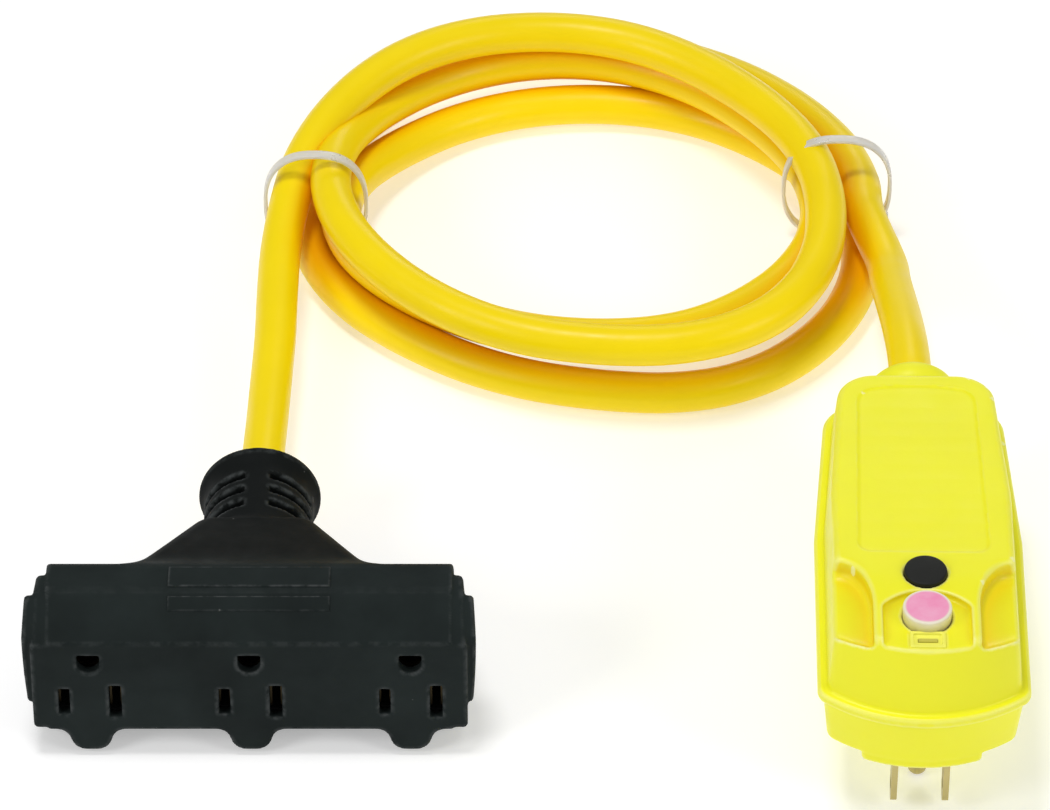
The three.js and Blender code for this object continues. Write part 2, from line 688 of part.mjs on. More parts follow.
function buildPlug() {
  const plug = new THREE.Group();
  plug.position.set(PLUG.x, PLUG.y, 0);
  plug.rotation.z = PLUG.heading;
  const add = (...args) => piece(plug, ...args);
  add("plug_cover", plugCover(), PLUG_YELLOW);
  add("plug_base", plugBase(), PLUG_YELLOW);
  add("plug_strain_relief", plugStrainRelief(), PLUG_YELLOW);
  COVER_SCREWS.forEach((at, i) => add(`cover_screw_${i + 1}`, coverScrew(at), STEEL));
  add("line_blade", blade(-1), BRASS);
  add("neutral_blade", blade(1), BRASS);
  add("ground_pin", groundPin(), BRASS);
  add("line_fixed_contact", fixedContact(-1), COPPER);
  add("neutral_fixed_contact", fixedContact(1), COPPER);
  add("line_moving_contact", movingContact(-1), COPPER);
  add("neutral_moving_contact", movingContact(1), COPPER);
  add("test_button", button(TEST, 6.2, 1.5, 36.2, 1.5), NYLON_BLACK);
  add("reset_button", button(RESET, 6.9, 1.3, 33.4, 1.8), RESET_WHITE);
  const springLow = FRAME_PLATE.topZ + GAP;
  add("test_spring", springZ([0, TEST.y], springLow, SPRING_TOP_Z, 3, 0.3, 4), STEEL);
  add("reset_spring", springZ([0, RESET.y], springLow, SPRING_TOP_Z, 3.4, 0.3, 4), STEEL);
  [-5.4, 5.4].forEach((x, i) => {
    const spring = springZ([x, RESET.y], 36.8, 41.6, 1.6, 0.25, 4);
    add(i ? "break_spring_right" : "break_spring_left", spring, STEEL);
  });
  add("mechanism_frame", mechanismFrame(), NATURAL_NYLON);
  add("contact_carrier", contactCarrier(), NATURAL_NYLON);
  add("latch_plate", latchPlate(), STEEL);
  add("solenoid_bobbin", solenoidBobbin(), NATURAL_NYLON);
  add(
    "solenoid_winding",
    pipe(onSolenoidAxis(35.8), onSolenoidAxis(52.2), 7.2, 3.9, 24),
    COPPER,
  );
  add("solenoid_plunger", solenoidPlunger(), STEEL);
  add("plunger_spring", plungerSpring(), STEEL);
  add("circuit_board", circuitBoard(), BOARD_GREEN);
  add("test_contact", testContact(), COPPER);
  add("sense_coil", senseCoil(0), NYLON_BLACK);
  add("neutral_sense_coil", senseCoil(1), NYLON_BLACK);
  const boardTop = BOARD.topZ + GAP;
  add("varistor", rod([-15.6, 70, boardTop + 5], [-12.2, 70, boardTop + 5], 5, 5, 18), PART_BLUE);
  add("filter_capacitor", box([11.8, 63, boardTop], [16, 74, 41]), PART_BLUE);
  add("controller_chip", box([-3, 76, boardTop], [3, 79.6, 34]), NYLON_BLACK);
  const ledY = -0.5;
  add("indicator_led", rod([0, ledY, springLow], [0, ledY, 51], 1.3, 1.3, 14), RESET_WHITE);
  const lensX = WINDOW.slotHalfX - GAP;
  const lensY = WINDOW.slotHalfY - GAP;
  add("indicator_lens", box([-lensX, -lensY, 51.3], [lensX, lensY, 56.9]), CLEAR_NYLON);
  add("cord_clamp", cordClamp(), NATURAL_NYLON);
  add("clamp_screw_left", clampScrew(-CLAMP.screwX), STEEL);
  add("clamp_screw_right", clampScrew(CLAMP.screwX), STEEL);
  add("line_conductor", loadConductor(-1), CORE_BLACK);
  add("neutral_conductor", loadConductor(1), CORE_WHITE);
  add("ground_conductor", groundConductor(), CORE_GREEN);
  return plug;
}

// ---------------------------------------------------------------- tap

const OUTLETS = [-OUTLET.pitch, 0, OUTLET.pitch];

// The bar's section: upright outlet face, sloped edges, level top and bottom, upright back.
function barSection(inset) {
  const { faceHalfZ, topZ, bottomZ, chamferY, topRearY, rearY } = BAR;
  const half = (height) => [
    [rearY - inset, faceHalfZ - inset / 2],
    [topRearY, height - inset],
    [chamferY, height - inset],
    [0, faceHalfZ - inset / 2],
  ];
  const lower = half(bottomZ).map(([y, z]) => [y, -z]);
  return [...half(topZ), ...lower.reverse()];
}

const END_PAD_SECTION = [
  [1.6, 13.9],
  [1.6, -4.4],
  [3.6, -7.6],
  [17, -7.6],
  [19, -5.6],
  [19, 13],
  [11.5, 20.8],
  [8.6, 21.8],
];

// A step on the bar's ends: a section run along X, drawn in towards the back.
function endStep(section, { halfX, rearHalfX, rearY }) {
  const plan = [
    [-halfX, 0],
    [halfX, 0],
    [rearHalfX, rearY],
    [-rearHalfX, rearY],
  ];
  return prismX(section, -halfX, halfX).intersect(prism(plan, -BAR.bottomZ, BAR.topZ));
}

function roundedRectangle([y0, z0], [y1, z1], radius) {
  const corners = [
    [y1 - radius, z1 - radius, 0],
    [y0 + radius, z1 - radius, 1],
    [y0 + radius, z0 + radius, 2],
    [y1 - radius, z0 + radius, 3],
  ];
  const steps = 3;
  return corners.flatMap(([y, z, quarter]) =>
    Array.from({ length: steps + 1 }, (_, i) => {
      const angle = (Math.PI / 2) * (quarter + i / steps);
      return [y + radius * Math.cos(angle), z + radius * Math.sin(angle)];
    }),
  );
}

// The flared neck between the bar and the strain relief.
function neck() {
  const { startY, endY, startHalfX, endHalfX, endZ } = NECK;
  const sides = 32;
  const power = 0.5;
  const bulge = (value) => Math.sign(value) * Math.abs(value) ** power;
  const ring = (y, halfX, highZ, lowZ) =>
    Array.from({ length: sides }, (_, i) => {
      const angle = (2 * Math.PI * (i + 0.5)) / sides;
      const up = -bulge(Math.sin(angle));
      return [halfX * bulge(Math.cos(angle)), y, up * (up > 0 ? highZ : lowZ)];
    });
  return loft([
    ring(startY, startHalfX, BAR.topZ, BAR.bottomZ),
    ring(endY, endHalfX, endZ, endZ),
  ]);
}

// A keying lobe under an outlet, filling the slope below the face.
function lobe(x) {
  const top = -BAR.faceHalfZ + 0.5;
  const outline = [
    [x + 7.9, top],
    [x - 7.9, top],
    [x - 5.6, -15.6],
    [x - 4.6, -18.4],
    [x - 2.4, -BAR.bottomZ],
    [x + 2.4, -BAR.bottomZ],
    [x + 4.6, -18.4],
    [x + 5.6, -15.6],
  ];
  return prismY(outline.reverse(), 0, BAR.chamferY);
}

function groundHoleOutline(x) {
  const { halfWidth, top } = GROUND_HOLE;
  const z = OUTLET.groundZ;
  const outline = [[x + halfWidth, z + top]];
  outline.push([x - halfWidth, z + top]);
  const steps = 8;
  for (let i = 0; i <= steps; i++) {
    const angle = Math.PI + (Math.PI * i) / steps;
    outline.push([x + halfWidth * Math.cos(angle), z + halfWidth * Math.sin(angle)]);
  }
  return outline;
}

function slotBox(x, { width, height }, y0, y1, margin = 0) {
  const halfX = width / 2 + margin;
  const halfZ = height / 2 + margin;
  return box([x - halfX, y0, OUTLET.slotZ - halfZ], [x + halfX, y1, OUTLET.slotZ + halfZ]);
}

function tapBody() {
  const { halfX, frontY, rearY, lowZ, highZ } = POCKET;
  const bar = join(
    prismX(barSection(0), -BAR.halfX, BAR.halfX),
    endStep(barSection(0.8), END_STEP),
    endStep(END_PAD_SECTION, END_PAD),
    neck(),
    box(LABEL_PAD.low, LABEL_PAD.high),
    ...OUTLETS.map(lobe),
  );
  const holes = OUTLETS.flatMap((x) => [
    prismY(groundHoleOutline(x), -1, frontY + 1),
    slotBox(x - OUTLET.slotSpacing / 2, LINE_SLOT, -1, frontY + 1),
    slotBox(x + OUTLET.slotSpacing / 2, NEUTRAL_SLOT, -1, frontY + 1),
  ]);
  return cut(
    bar,
    box([-halfX, frontY, lowZ], [halfX, rearY, highZ]),
    rod([0, rearY - 0.1, 0], [0, 30, 0], 12, 5.4, 20),
    rod([0, 29, 0], [0, 45, 0], 5.4, 5.4, 20),
    rod([0, 42, 0], [0, 60, 0], CORD_BORE, CORD_BORE, 24),
    ...holes,
  );
}

// The insulating block that holds the three bus bars behind the face.
function contactBlock() {
  const { halfX, frontY, lowZ, highZ } = POCKET;
  const blockY = [frontY + GAP, 15.5];
  const body = box([-halfX + GAP, blockY[0], lowZ + GAP], [halfX - GAP, blockY[1], highZ - GAP]);
  const pockets = OUTLETS.flatMap((x) => [
    rod([x, 0, OUTLET.groundZ], [x, 20, OUTLET.groundZ], 4.2, 4.2, 18),
    slotBox(x - OUTLET.slotSpacing / 2, { width: 4, height: 7.4 }, 0, 20),
    slotBox(x + OUTLET.slotSpacing / 2, { width: 4, height: 9.2 }, 0, 20),
  ]);
  const channels = [
    [-12.6, -8.4],
    [-1.3, 2],
    [9.9, 12.6],
  ].map(([z0, z1]) => box([-halfX, 10.5, z0], [halfX, 20, z1]));
  return cut(body, ...pockets, ...channels);
}

// A pair of spring leaves that grip one blade.
function bladeClip(x, halfZ) {
  const leaf = (side) => {
    const [a, b] = side < 0 ? [x - 1.6, x - 1.05] : [x + 1.05, x + 1.6];
    return box([a, 4.2, OUTLET.slotZ - halfZ], [b, 12.1, OUTLET.slotZ + halfZ]);
  };
  const back = box([x - 1.6, 11.6, OUTLET.slotZ - halfZ], [x + 1.6, 12.2, OUTLET.slotZ + halfZ]);
  return join(leaf(-1), leaf(1), back);
}

function bus(clips, tabs, z0, z1) {
  return join(box([-46, 12, z0], [46, 12.7, z1]), ...clips, ...tabs);
}

function lineBus() {
  const xs = OUTLETS.map((x) => x - OUTLET.slotSpacing / 2);
  const tabs = xs.map((x) => box([x - 1.6, 11.8, -11.6], [x + 1.6, 12.5, -7.8]));
  return bus(
    xs.map((x) => bladeClip(x, 3.3)),
    tabs,
    -12,
    -9.9,
  );
}

function neutralBus() {
  const xs = OUTLETS.map((x) => x + OUTLET.slotSpacing / 2);
  const tabs = xs.map((x) => box([x - 1.6, 11.8, -1.5], [x + 1.6, 12.5, 1.2]));
  return bus(
    xs.map((x) => bladeClip(x, 4.2)),
    tabs,
    -0.9,
    1.6,
  );
}

function groundBus() {
  const z = OUTLET.groundZ;
  const clips = OUTLETS.map((x) => pipe([x, 4.2, z], [x, 12.2, z], 3.7, 3.1, 18));
  const tabs = OUTLETS.map((x) => box([x - 1.6, 11.8, 10.1], [x + 1.6, 12.5, 11.4]));
  return bus(clips, tabs, 10.3, 11.7);
}

// One of the slots that let the strain relief bend, between two angles from its top line.
function sleeveSlot(y, quadrant) {
  const { width, floor, from, to } = SLEEVE_SLOTS;
  const outer = 20;
  const steps = 6;
  const flipX = quadrant % 2 ? -1 : 1;
  const flipZ = quadrant > 1 ? -1 : 1;
  const arc = (radius) =>
    Array.from({ length: steps + 1 }, (_, i) => {
      const angle = THREE.MathUtils.degToRad(from + ((to - from) * i) / steps);
      return [flipX * radius * Math.sin(angle), flipZ * radius * Math.cos(angle)];
    });
  return prismY([...arc(outer), ...arc(floor).reverse()], y - width / 2, y + width / 2);
}

function tapStrainRelief() {
  const { radius, frontY, rearY, rimY, rimRadius } = SLEEVE;
  const profile = [
    [CORD_BORE, frontY],
    [radius, frontY],
    [radius, rearY],
    [rimRadius, rimY - 1.8],
    [rimRadius, rimY],
    [CORD_BORE, rimY],
    [CORD_BORE, frontY],
  ].map(([r, y]) => new THREE.Vector2(r, y));
  const slots = SLEEVE_SLOTS.rows.flatMap((y) => [0, 1, 2, 3].map((q) => sleeveSlot(y, q)));
  return cut(solid(new THREE.LatheGeometry(profile, 36)), ...slots);
}

function tapWire([x0, z0], [x1, z1]) {
  const points = [
    [x0, 13.3 + CORE_RADIUS, z0],
    [x0 * 0.8, 18, z0 * 0.8],
    [x0 * 0.45 + x1 * 0.5, 23, z0 * 0.4 + z1 * 0.5],
    [x1, 29, z1],
    [x1, 36, z1],
    [x1, 44, z1],
  ];
  return tube(points, CORE_RADIUS, 14, 8);
}

function buildTap() {
  const tap = new THREE.Group();
  tap.position.set(TAP.x, TAP.y, TAP.z);
  tap.rotation.x = TAP.pitch;
  const add = (...args) => piece(tap, ...args);
  add("tap_body", tapBody(), TAP_BLACK);
  add("tap_strain_relief", tapStrainRelief(), TAP_BLACK);
  add("contact_block", contactBlock(), NATURAL_NYLON);
  add("line_bus", lineBus(), BRASS);
  add("neutral_bus", neutralBus(), BRASS);
  add("ground_bus", groundBus(), BRASS);
  add("tap_line_wire", tapWire([-7, -8.6], [-2, -1.4]), CORE_BLACK);
  add("tap_neutral_wire", tapWire([7, 0.4], [2, -1.4]), CORE_WHITE);
  add("tap_ground_wire", tapWire([0, 8.4], [0, 2.1]), CORE_GREEN);
  return tap;
}

// ---------------------------------------------------------------- cord

function coilRing(grow = 0) {
  const { inner, outer, lowZ, highZ, edge } = COIL;
  const [r0, r1, z0, z1] = [inner - grow, outer + grow, lowZ - grow, highZ + grow];
  const profile = [
    [r0, z0 + edge],
    [r0 + edge, z0],
    [r1 - edge, z0],
    [r1, z0 + edge],
    [r1, z1 - edge],
    [r1 - edge, z1],
    [r0 + edge, z1],
    [r0, z1 - edge],
    [r0, z0 + edge],
  ].map(([r, z]) => new THREE.Vector2(r, z));
  const ring = new THREE.LatheGeometry(profile, 48).rotateX(Math.PI / 2);
  return solid(ring.translate(COIL.x, COIL.y, 0));
}

function cableTie({ x, y, halfX }) {
  const { thickness: t, width, lowZ, highZ, corner, headZ } = TIE;
  const outer = roundedRectangle([x - halfX, lowZ], [x + halfX, highZ], corner);
  const inner = roundedRectangle(
    [x - halfX + t, lowZ + t],
    [x + halfX - t, highZ - t],
    corner - t,
  );
  const side = x < COIL.x ? -1 : 1;
  const headX = x + side * (halfX - 1);
  return join(
    cut(prismY(outer, y - width / 2, y + width / 2), prismY(inner, y - width, y + width)),
    box([headX - 2.4, y - 2.4, headZ], [headX + 2.4, y + 2.4, headZ + 4.5]),
  );
}

function buildCord() {
  const cord = new THREE.Group();
  const add = (...args) => piece(cord, ...args);
  const room = coilRing(GAP);
  add("cord_lead_tap", cut(tube(TAP_LEAD, CORD_RADIUS, 11, 12), room), CORD_YELLOW);
  add("cord_lead_plug", cut(tube(PLUG_LEAD, CORD_RADIUS, 9, 12), room), CORD_YELLOW);
  add("cord_coil", coilRing(), CORD_YELLOW);
  TIES.forEach((tie) => {
    add(tie.name, cut(cableTie(tie), room), CLEAR_NYLON);
  });
  return cord;
}

const cordSet = new THREE.Group();
cordSet.add(buildPlug(), buildTap(), buildCord());
export default cordSet;
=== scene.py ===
"""Looks for the ground-fault cord set: moulded plug and tap housings, the coiled cord, ties and finishes.

Soft mouldings are distance fields in millimetres, in the plug's or the tap's own axes, meshed by OpenVDB.
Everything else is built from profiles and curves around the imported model's own nodes.
"""

import json
import math

import bpy
import numpy as np
import openvdb
from mathutils import Matrix, Vector

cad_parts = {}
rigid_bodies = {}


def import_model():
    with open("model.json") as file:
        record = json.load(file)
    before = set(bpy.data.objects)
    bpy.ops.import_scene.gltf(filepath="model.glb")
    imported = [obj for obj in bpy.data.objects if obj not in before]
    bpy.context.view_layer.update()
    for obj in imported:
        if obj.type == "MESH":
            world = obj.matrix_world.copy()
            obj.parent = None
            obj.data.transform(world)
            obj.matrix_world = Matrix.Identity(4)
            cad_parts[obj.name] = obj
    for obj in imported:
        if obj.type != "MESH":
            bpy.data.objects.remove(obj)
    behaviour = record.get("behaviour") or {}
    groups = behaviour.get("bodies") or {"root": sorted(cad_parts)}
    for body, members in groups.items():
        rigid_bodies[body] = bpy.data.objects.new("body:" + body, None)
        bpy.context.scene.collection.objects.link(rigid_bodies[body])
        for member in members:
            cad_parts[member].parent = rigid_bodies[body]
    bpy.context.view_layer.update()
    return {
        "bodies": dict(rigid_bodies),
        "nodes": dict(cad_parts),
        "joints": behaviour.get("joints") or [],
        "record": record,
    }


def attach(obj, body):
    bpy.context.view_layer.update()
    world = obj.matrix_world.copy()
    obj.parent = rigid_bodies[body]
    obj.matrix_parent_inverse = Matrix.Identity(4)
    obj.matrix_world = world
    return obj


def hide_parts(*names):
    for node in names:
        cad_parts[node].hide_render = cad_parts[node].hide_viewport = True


MM = 0.001
HOUSINGS = "housings"

# ---------------------------------------------------------------- driving dimensions, in millimetres

CORD_DIAMETER = 11.0

PLUG_AT = (97.062, -50.127, 0.0)
PLUG_HEADING = math.radians(-1)
TAP_AT = (-68.0, -30.7, 22.002)
TAP_PITCH = math.radians(-4.8)

# The stretches that aren't coiled, as in the CAD model.
TAP_LEAD = [
    (-68, 14.14, 18.23),
    (-68, 31.08, 16.81),
    (-68, 48.02, 15.39),
    (-67.8, 60, 14.5),
    (-67.2, 76, 13.8),
    (-66.6, 92, 14),
    (-66, 108, 14.8),
    (-65.9, 124, 16),
    (-65.4, 140, 17.6),
]
PLUG_LEAD = [
    (98.62, 37, 37.5),
    (98.9, 60.2, 37.5),
    (99.1, 70, 37),
    (98.9, 82, 35),
    (98.4, 95, 31.2),
    (97.7, 108, 26.8),
    (96.9, 121, 22.6),
    (96.3, 134, 19),
]

# Three and a half loose turns about COIL_CENTRE, clockwise from the left: the radius and the height
# of the cord's middle at every eighth of a turn.
COIL_CENTRE = (14.0, 155.0)
EIGHTH_TURN = math.pi / 4
COIL_TURNS = [
    [(77.5, 20.5), (71, 28.5), (65.9, 27.3), (61.1, 26.8), (65.9, 27), (71.7, 26), (59.5, 24), (58, 24.5)],
    [(66, 25.8), (69.7, 17), (68.4, 16), (64.5, 16.3), (65.6, 16), (55.4, 15), (46.5, 14), (50, 14.5)],
    [(63.5, 14.8), (62, 7), (61, 6), (67.5, 5.6), (77, 6), (71.5, 6), (57, 6), (57, 6)],
    [(71.5, 6), (83, 6), (86, 6), (81, 10), (77.5, 18)],
]

CAMERA = {"focal_px": 6200, "frame_px": 1050, "elevation": 42, "distance": 1611, "aim": (0, 75.5, 20)}

# ---------------------------------------------------------------- stage and camera


def add_camera():
    data = bpy.data.cameras.new("camera")
    data.sensor_width = 36
    data.lens = CAMERA["focal_px"] / CAMERA["frame_px"] * data.sensor_width
    data.clip_start = 0.01
    data.clip_end = 20
    camera = bpy.data.objects.new("camera", data)
    bpy.context.collection.objects.link(camera)
    elevation = math.radians(CAMERA["elevation"])
    back = Vector((0, -math.cos(elevation), math.sin(elevation))) * CAMERA["distance"]
    camera.location = (Vector(CAMERA["aim"]) + back) * MM
    camera.rotation_euler = (math.pi / 2 - elevation, 0, 0)
    bpy.context.scene.camera = camera


def add_area_light(name, place, aim, size, power, colour=(1, 1, 1)):
    data = bpy.data.lights.new(name, "AREA")
    data.shape = "DISK"
    data.size = size
    data.energy = power
    data.color = colour
    light = bpy.data.objects.new(name, data)
    bpy.context.collection.objects.link(light)
    light.location = place
    light.rotation_euler = (Vector(aim) - Vector(place)).to_track_quat("-Z", "Y").to_euler()


def lit_floor():
    """Pale paper, lit a little from below, as on a light table."""
    material, _, shader = new_material("floor_white")
    shader.inputs["Base Color"].default_value = (0.80, 0.80, 0.80, 1)
    shader.inputs["Roughness"].default_value = 0.95
    shader.inputs["Specular IOR Level"].default_value = 0.1
    shader.inputs["Emission Color"].default_value = (1, 1, 1, 1)
    shader.inputs["Emission Strength"].default_value = 0.36
    return material


def add_stage():
    bpy.ops.mesh.primitive_plane_add(size=8, location=(0, 0, -0.0002))
    floor = bpy.context.object
    floor.name = "floor"
    floor.data.materials.append(lit_floor())
    world = bpy.data.worlds.new("studio")
    world.use_nodes = True
    world.node_tree.nodes["Background"].inputs["Color"].default_value = (1, 1, 1, 1)
    world.node_tree.nodes["Background"].inputs["Strength"].default_value = 0.31
    bpy.context.scene.world = world
    bpy.context.scene.view_settings.view_transform = "Standard"
    aim = (0, 0.06, 0.02)
    add_area_light("key", (-0.2, 0.05, 1.6), aim, 0.4, 9.2)
    add_area_light("left", (-1.0, -0.6, 0.85), aim, 0.5, 5)
    add_area_light("right", (1.0, -0.6, 0.8), aim, 0.5, 4)
    add_area_light("back", (0.2, 1.3, 0.6), aim, 0.5, 1.5)


# ---------------------------------------------------------------- materials


def new_material(name):
    material = bpy.data.materials.new(name)
    material.use_nodes = True
    tree = material.node_tree
    return material, tree, tree.nodes["Principled BSDF"]


def noise(tree, scale, detail=3.0, roughness=0.55):
    """A noise texture in the object's own axes, in waves to the metre."""
    coordinates = tree.nodes.new("ShaderNodeTexCoord")
    texture = tree.nodes.new("ShaderNodeTexNoise")
    texture.inputs["Scale"].default_value = scale
    texture.inputs["Detail"].default_value = detail
    texture.inputs["Roughness"].default_value = roughness
    tree.links.new(coordinates.outputs["Object"], texture.inputs["Vector"])
    return texture.outputs["Fac"]


def ramp(tree, value, stops):
    """A colour ramp over value, from a list of (place, colour)."""
    node = tree.nodes.new("ShaderNodeValToRGB")
    elements = node.color_ramp.elements
    while len(elements) < len(stops):
        elements.new(0.5)
    for element, (place, colour) in zip(elements, stops):
        element.position = place
        element.color = (*colour, 1)
    tree.links.new(value, node.inputs["Fac"])
    return node.outputs["Color"]


def grey(value):
    return (value, value, value)


def add_bump(tree, shader, height, strength, distance):
    """Bump from a height, on top of any bump that the shader already has."""
    bump = tree.nodes.new("ShaderNodeBump")
    bump.inputs["Strength"].default_value = strength
    bump.inputs["Distance"].default_value = distance
    tree.links.new(height, bump.inputs["Height"])
    previous = shader.inputs["Normal"].links
    if previous:
        tree.links.new(previous[0].from_socket, bump.inputs["Normal"])
    tree.links.new(bump.outputs["Normal"], shader.inputs["Normal"])


def mix_colours(tree, factor, base, other):
    """The base colour socket, turned towards another colour by a factor."""
    mix = tree.nodes.new("ShaderNodeMix")
    mix.data_type = "RGBA"
    tree.links.new(factor, mix.inputs["Factor"])
    tree.links.new(base, mix.inputs["A"])
    if isinstance(other, tuple):
        mix.inputs["B"].default_value = (*other, 1)
    else:
        tree.links.new(other, mix.inputs["B"])
    return mix.outputs["Result"]


def base_colour(shader):
    return shader.inputs["Base Color"].links[0].from_socket


def occlusion_shade_mask(tree, reach, deepest, open_face):
    """A mask for painted shade, from ambient occlusion: one in the corners of a moulding and nought on its
    open faces.
    """
    occlusion = tree.nodes.new("ShaderNodeAmbientOcclusion")
    occlusion.samples = 8
    occlusion.only_local = True
    occlusion.inputs["Distance"].default_value = reach
    return ramp(tree, occlusion.outputs["AO"], [(deepest, grey(1)), (open_face, grey(0))])


def along_axis(tree, axis, start, end):
    """Nought before start and one after end along an axis of the frame, both in millimetres."""
    coordinates = tree.nodes.new("ShaderNodeTexCoord")
    split = tree.nodes.new("ShaderNodeSeparateXYZ")
    share = tree.nodes.new("ShaderNodeMapRange")
    share.inputs["From Min"].default_value = start * MM
    share.inputs["From Max"].default_value = end * MM
    tree.links.new(coordinates.outputs["Object"], split.inputs["Vector"])
    tree.links.new(split.outputs[axis], share.inputs["Value"])
    return share.outputs["Result"]


def both_of(tree, first, second):
    """The product of two factors."""
    product = tree.nodes.new("ShaderNodeMath")
    product.operation = "MULTIPLY"
    tree.links.new(first, product.inputs[0])
    tree.links.new(second, product.inputs[1])
    return product.outputs["Value"]


def sharp_edge_mask(tree, start, full):
    """Nought on flat faces and one on sharp outer edges."""
    geometry = tree.nodes.new("ShaderNodeNewGeometry")
    return ramp(tree, geometry.outputs["Pointiness"], [(start, grey(0)), (full, grey(1))])


def tinted(colour, share):
    return tuple(min(1.0, max(0.0, c * (1 + share))) for c in colour)


def moulded(
    name, colour, rough, grain_mm=0.7, grain_depth=0.00004, mottle=0.04, metallic=0.0, sheen=0.5
):
    """Moulded plastic, drawn metal or rubber: mottled colour, uneven gloss and a fine surface grain."""
    material, tree, shader = new_material(name)
    cloudy = noise(tree, 45, 4)
    shade = ramp(tree, cloudy, [(0.3, tinted(colour, -mottle)), (0.7, tinted(colour, mottle))])
    tree.links.new(shade, shader.inputs["Base Color"])
    patchy = noise(tree, 160, 5)
    gloss = ramp(tree, patchy, [(0.3, grey(rough - 0.06)), (0.7, grey(rough + 0.07))])
    tree.links.new(gloss, shader.inputs["Roughness"])
    shader.inputs["Metallic"].default_value = metallic
    shader.inputs["Specular IOR Level"].default_value = sheen
    add_bump(tree, shader, noise(tree, 1000 / grain_mm, 2), 0.35, grain_depth)
    return material


def plug_yellow():
    """Yellow polycarbonate, with painted shade turning the recesses of its top orange and a painted
    highlight paling its sharp outer edges.
    """
    material = moulded("plug_yellow", (0.93, 0.905, 0.012), 0.36, 0.6, 0.00008, mottle=0.015, sheen=0.34)
    tree = material.node_tree
    shader = tree.nodes["Principled BSDF"]
    # Painted shade: recesses in the top of the cover, found by ambient occlusion, are turned orange.
    painted_recess_shade = both_of(tree, occlusion_shade_mask(tree, 0.010, 0.5, 0.95), along_axis(tree, "Z", 46, 51))
    shade_painted_colour = mix_colours(tree, painted_recess_shade, base_colour(shader), (0.95, 0.62, 0.004))
    # Painted highlight: sharp outer edges are turned pale yellow.
    pale = mix_colours(tree, sharp_edge_mask(tree, 0.508, 0.575), shade_painted_colour, (1.0, 0.98, 0.42))
    tree.links.new(pale, shader.inputs["Base Color"])
    shader.inputs["Subsurface Weight"].default_value = 0.12
    shader.inputs["Subsurface Radius"].default_value = (0.004, 0.003, 0.001)
    return material


def cord_yellow():
    """Oiled vinyl jacket, with painted shade turning it orange where its turns touch, and a little wavy
    over the cores.
    """
    material = moulded("cord_yellow", (0.98, 0.74, 0.002), 0.34, 0.9, mottle=0.02, sheen=0.22)
    tree = material.node_tree
    shader = tree.nodes["Principled BSDF"]
    # Painted shade: where the turns touch, ambient occlusion turns the jacket orange.
    shade_painted_colour = mix_colours(tree, occlusion_shade_mask(tree, 0.014, 0.35, 0.95), base_colour(shader), (0.93, 0.50, 0.0))
    tree.links.new(shade_painted_colour, shader.inputs["Base Color"])
    add_bump(tree, shader, noise(tree, 70, 2), 0.25, 0.0006)
    return material


def tap_charcoal():
    """Charcoal vinyl: painted shade darkening the neck towards the back, paler in patches along its sharp
    edges, with a few pale specks of dust.
    """
    material = moulded("tap_charcoal", (0.0125, 0.0175, 0.0170), 0.66, 0.45, mottle=0.25, sheen=0.08)
    tree = material.node_tree
    shader = tree.nodes["Principled BSDF"]
    # Painted shade: the neck darkens towards the back of the bar.
    neck_shade_mask = along_axis(tree, "Y", TAP_AT[1] + BAR["rear_top"], TAP_AT[1] + BAR["rear"])
    colour = mix_colours(tree, neck_shade_mask, base_colour(shader), (0.0055, 0.0070, 0.0068))
    # Paler patches along sharp edges, masked by noise.
    edge_patches = ramp(tree, noise(tree, 420, 5), [(0.38, grey(0)), (0.6, grey(1))])
    patchy = both_of(tree, edge_patches, sharp_edge_mask(tree, 0.504, 0.54))
    colour = mix_colours(tree, patchy, colour, (0.050, 0.056, 0.056))
    coordinates = tree.nodes.new("ShaderNodeTexCoord")
    cells = tree.nodes.new("ShaderNodeTexVoronoi")
    cells.inputs["Scale"].default_value = 110
    tree.links.new(coordinates.outputs["Object"], cells.inputs["Vector"])
    speck = ramp(tree, cells.outputs["Distance"], [(0.0, grey(0.5)), (0.035, grey(0.0))])
    colour = mix_colours(tree, speck, colour, (0.28, 0.28, 0.27))
    tree.links.new(colour, shader.inputs["Base Color"])
    return material


def test_black():
    return moulded("test_black", (0.013, 0.014, 0.012), 0.5, 0.6, mottle=0.15, sheen=0.2)


def reset_pink():
    """Off-white plastic with a pink printed disc on top, paler where the print is thin."""
    material, tree, shader = new_material("reset_pink")
    middle = Matrix.Rotation(PLUG_HEADING, 4, "Z") @ Vector((0, RESET_BUTTON["y"], RESET_BUTTON["top"]))
    middle = (middle + Vector(PLUG_AT)) * MM
    coordinates = tree.nodes.new("ShaderNodeTexCoord")
    offset = tree.nodes.new("ShaderNodeVectorMath")
    offset.operation = "DISTANCE"
    offset.inputs[1].default_value = middle
    tree.links.new(coordinates.outputs["Object"], offset.inputs[0])
    inside = tree.nodes.new("ShaderNodeMapRange")
    inside.inputs["From Min"].default_value = 0.0055
    inside.inputs["From Max"].default_value = 0.0050
    tree.links.new(offset.outputs["Value"], inside.inputs["Value"])
    ink = ramp(tree, noise(tree, 220, 3), [(0.3, (0.90, 0.26, 0.48)), (0.75, (0.92, 0.42, 0.60))])
    white = ramp(tree, noise(tree, 150, 3), [(0.3, (0.84, 0.78, 0.60)), (0.7, (0.90, 0.84, 0.68))])
    colour = mix_colours(tree, inside.outputs["Result"], white, ink)
    tree.links.new(colour, shader.inputs["Base Color"])
    gloss = ramp(tree, noise(tree, 300, 4), [(0.3, grey(0.38)), (0.7, grey(0.5))])
    tree.links.new(gloss, shader.inputs["Roughness"])
    add_bump(tree, shader, noise(tree, 1800, 2), 0.3, 0.00004)
    return material


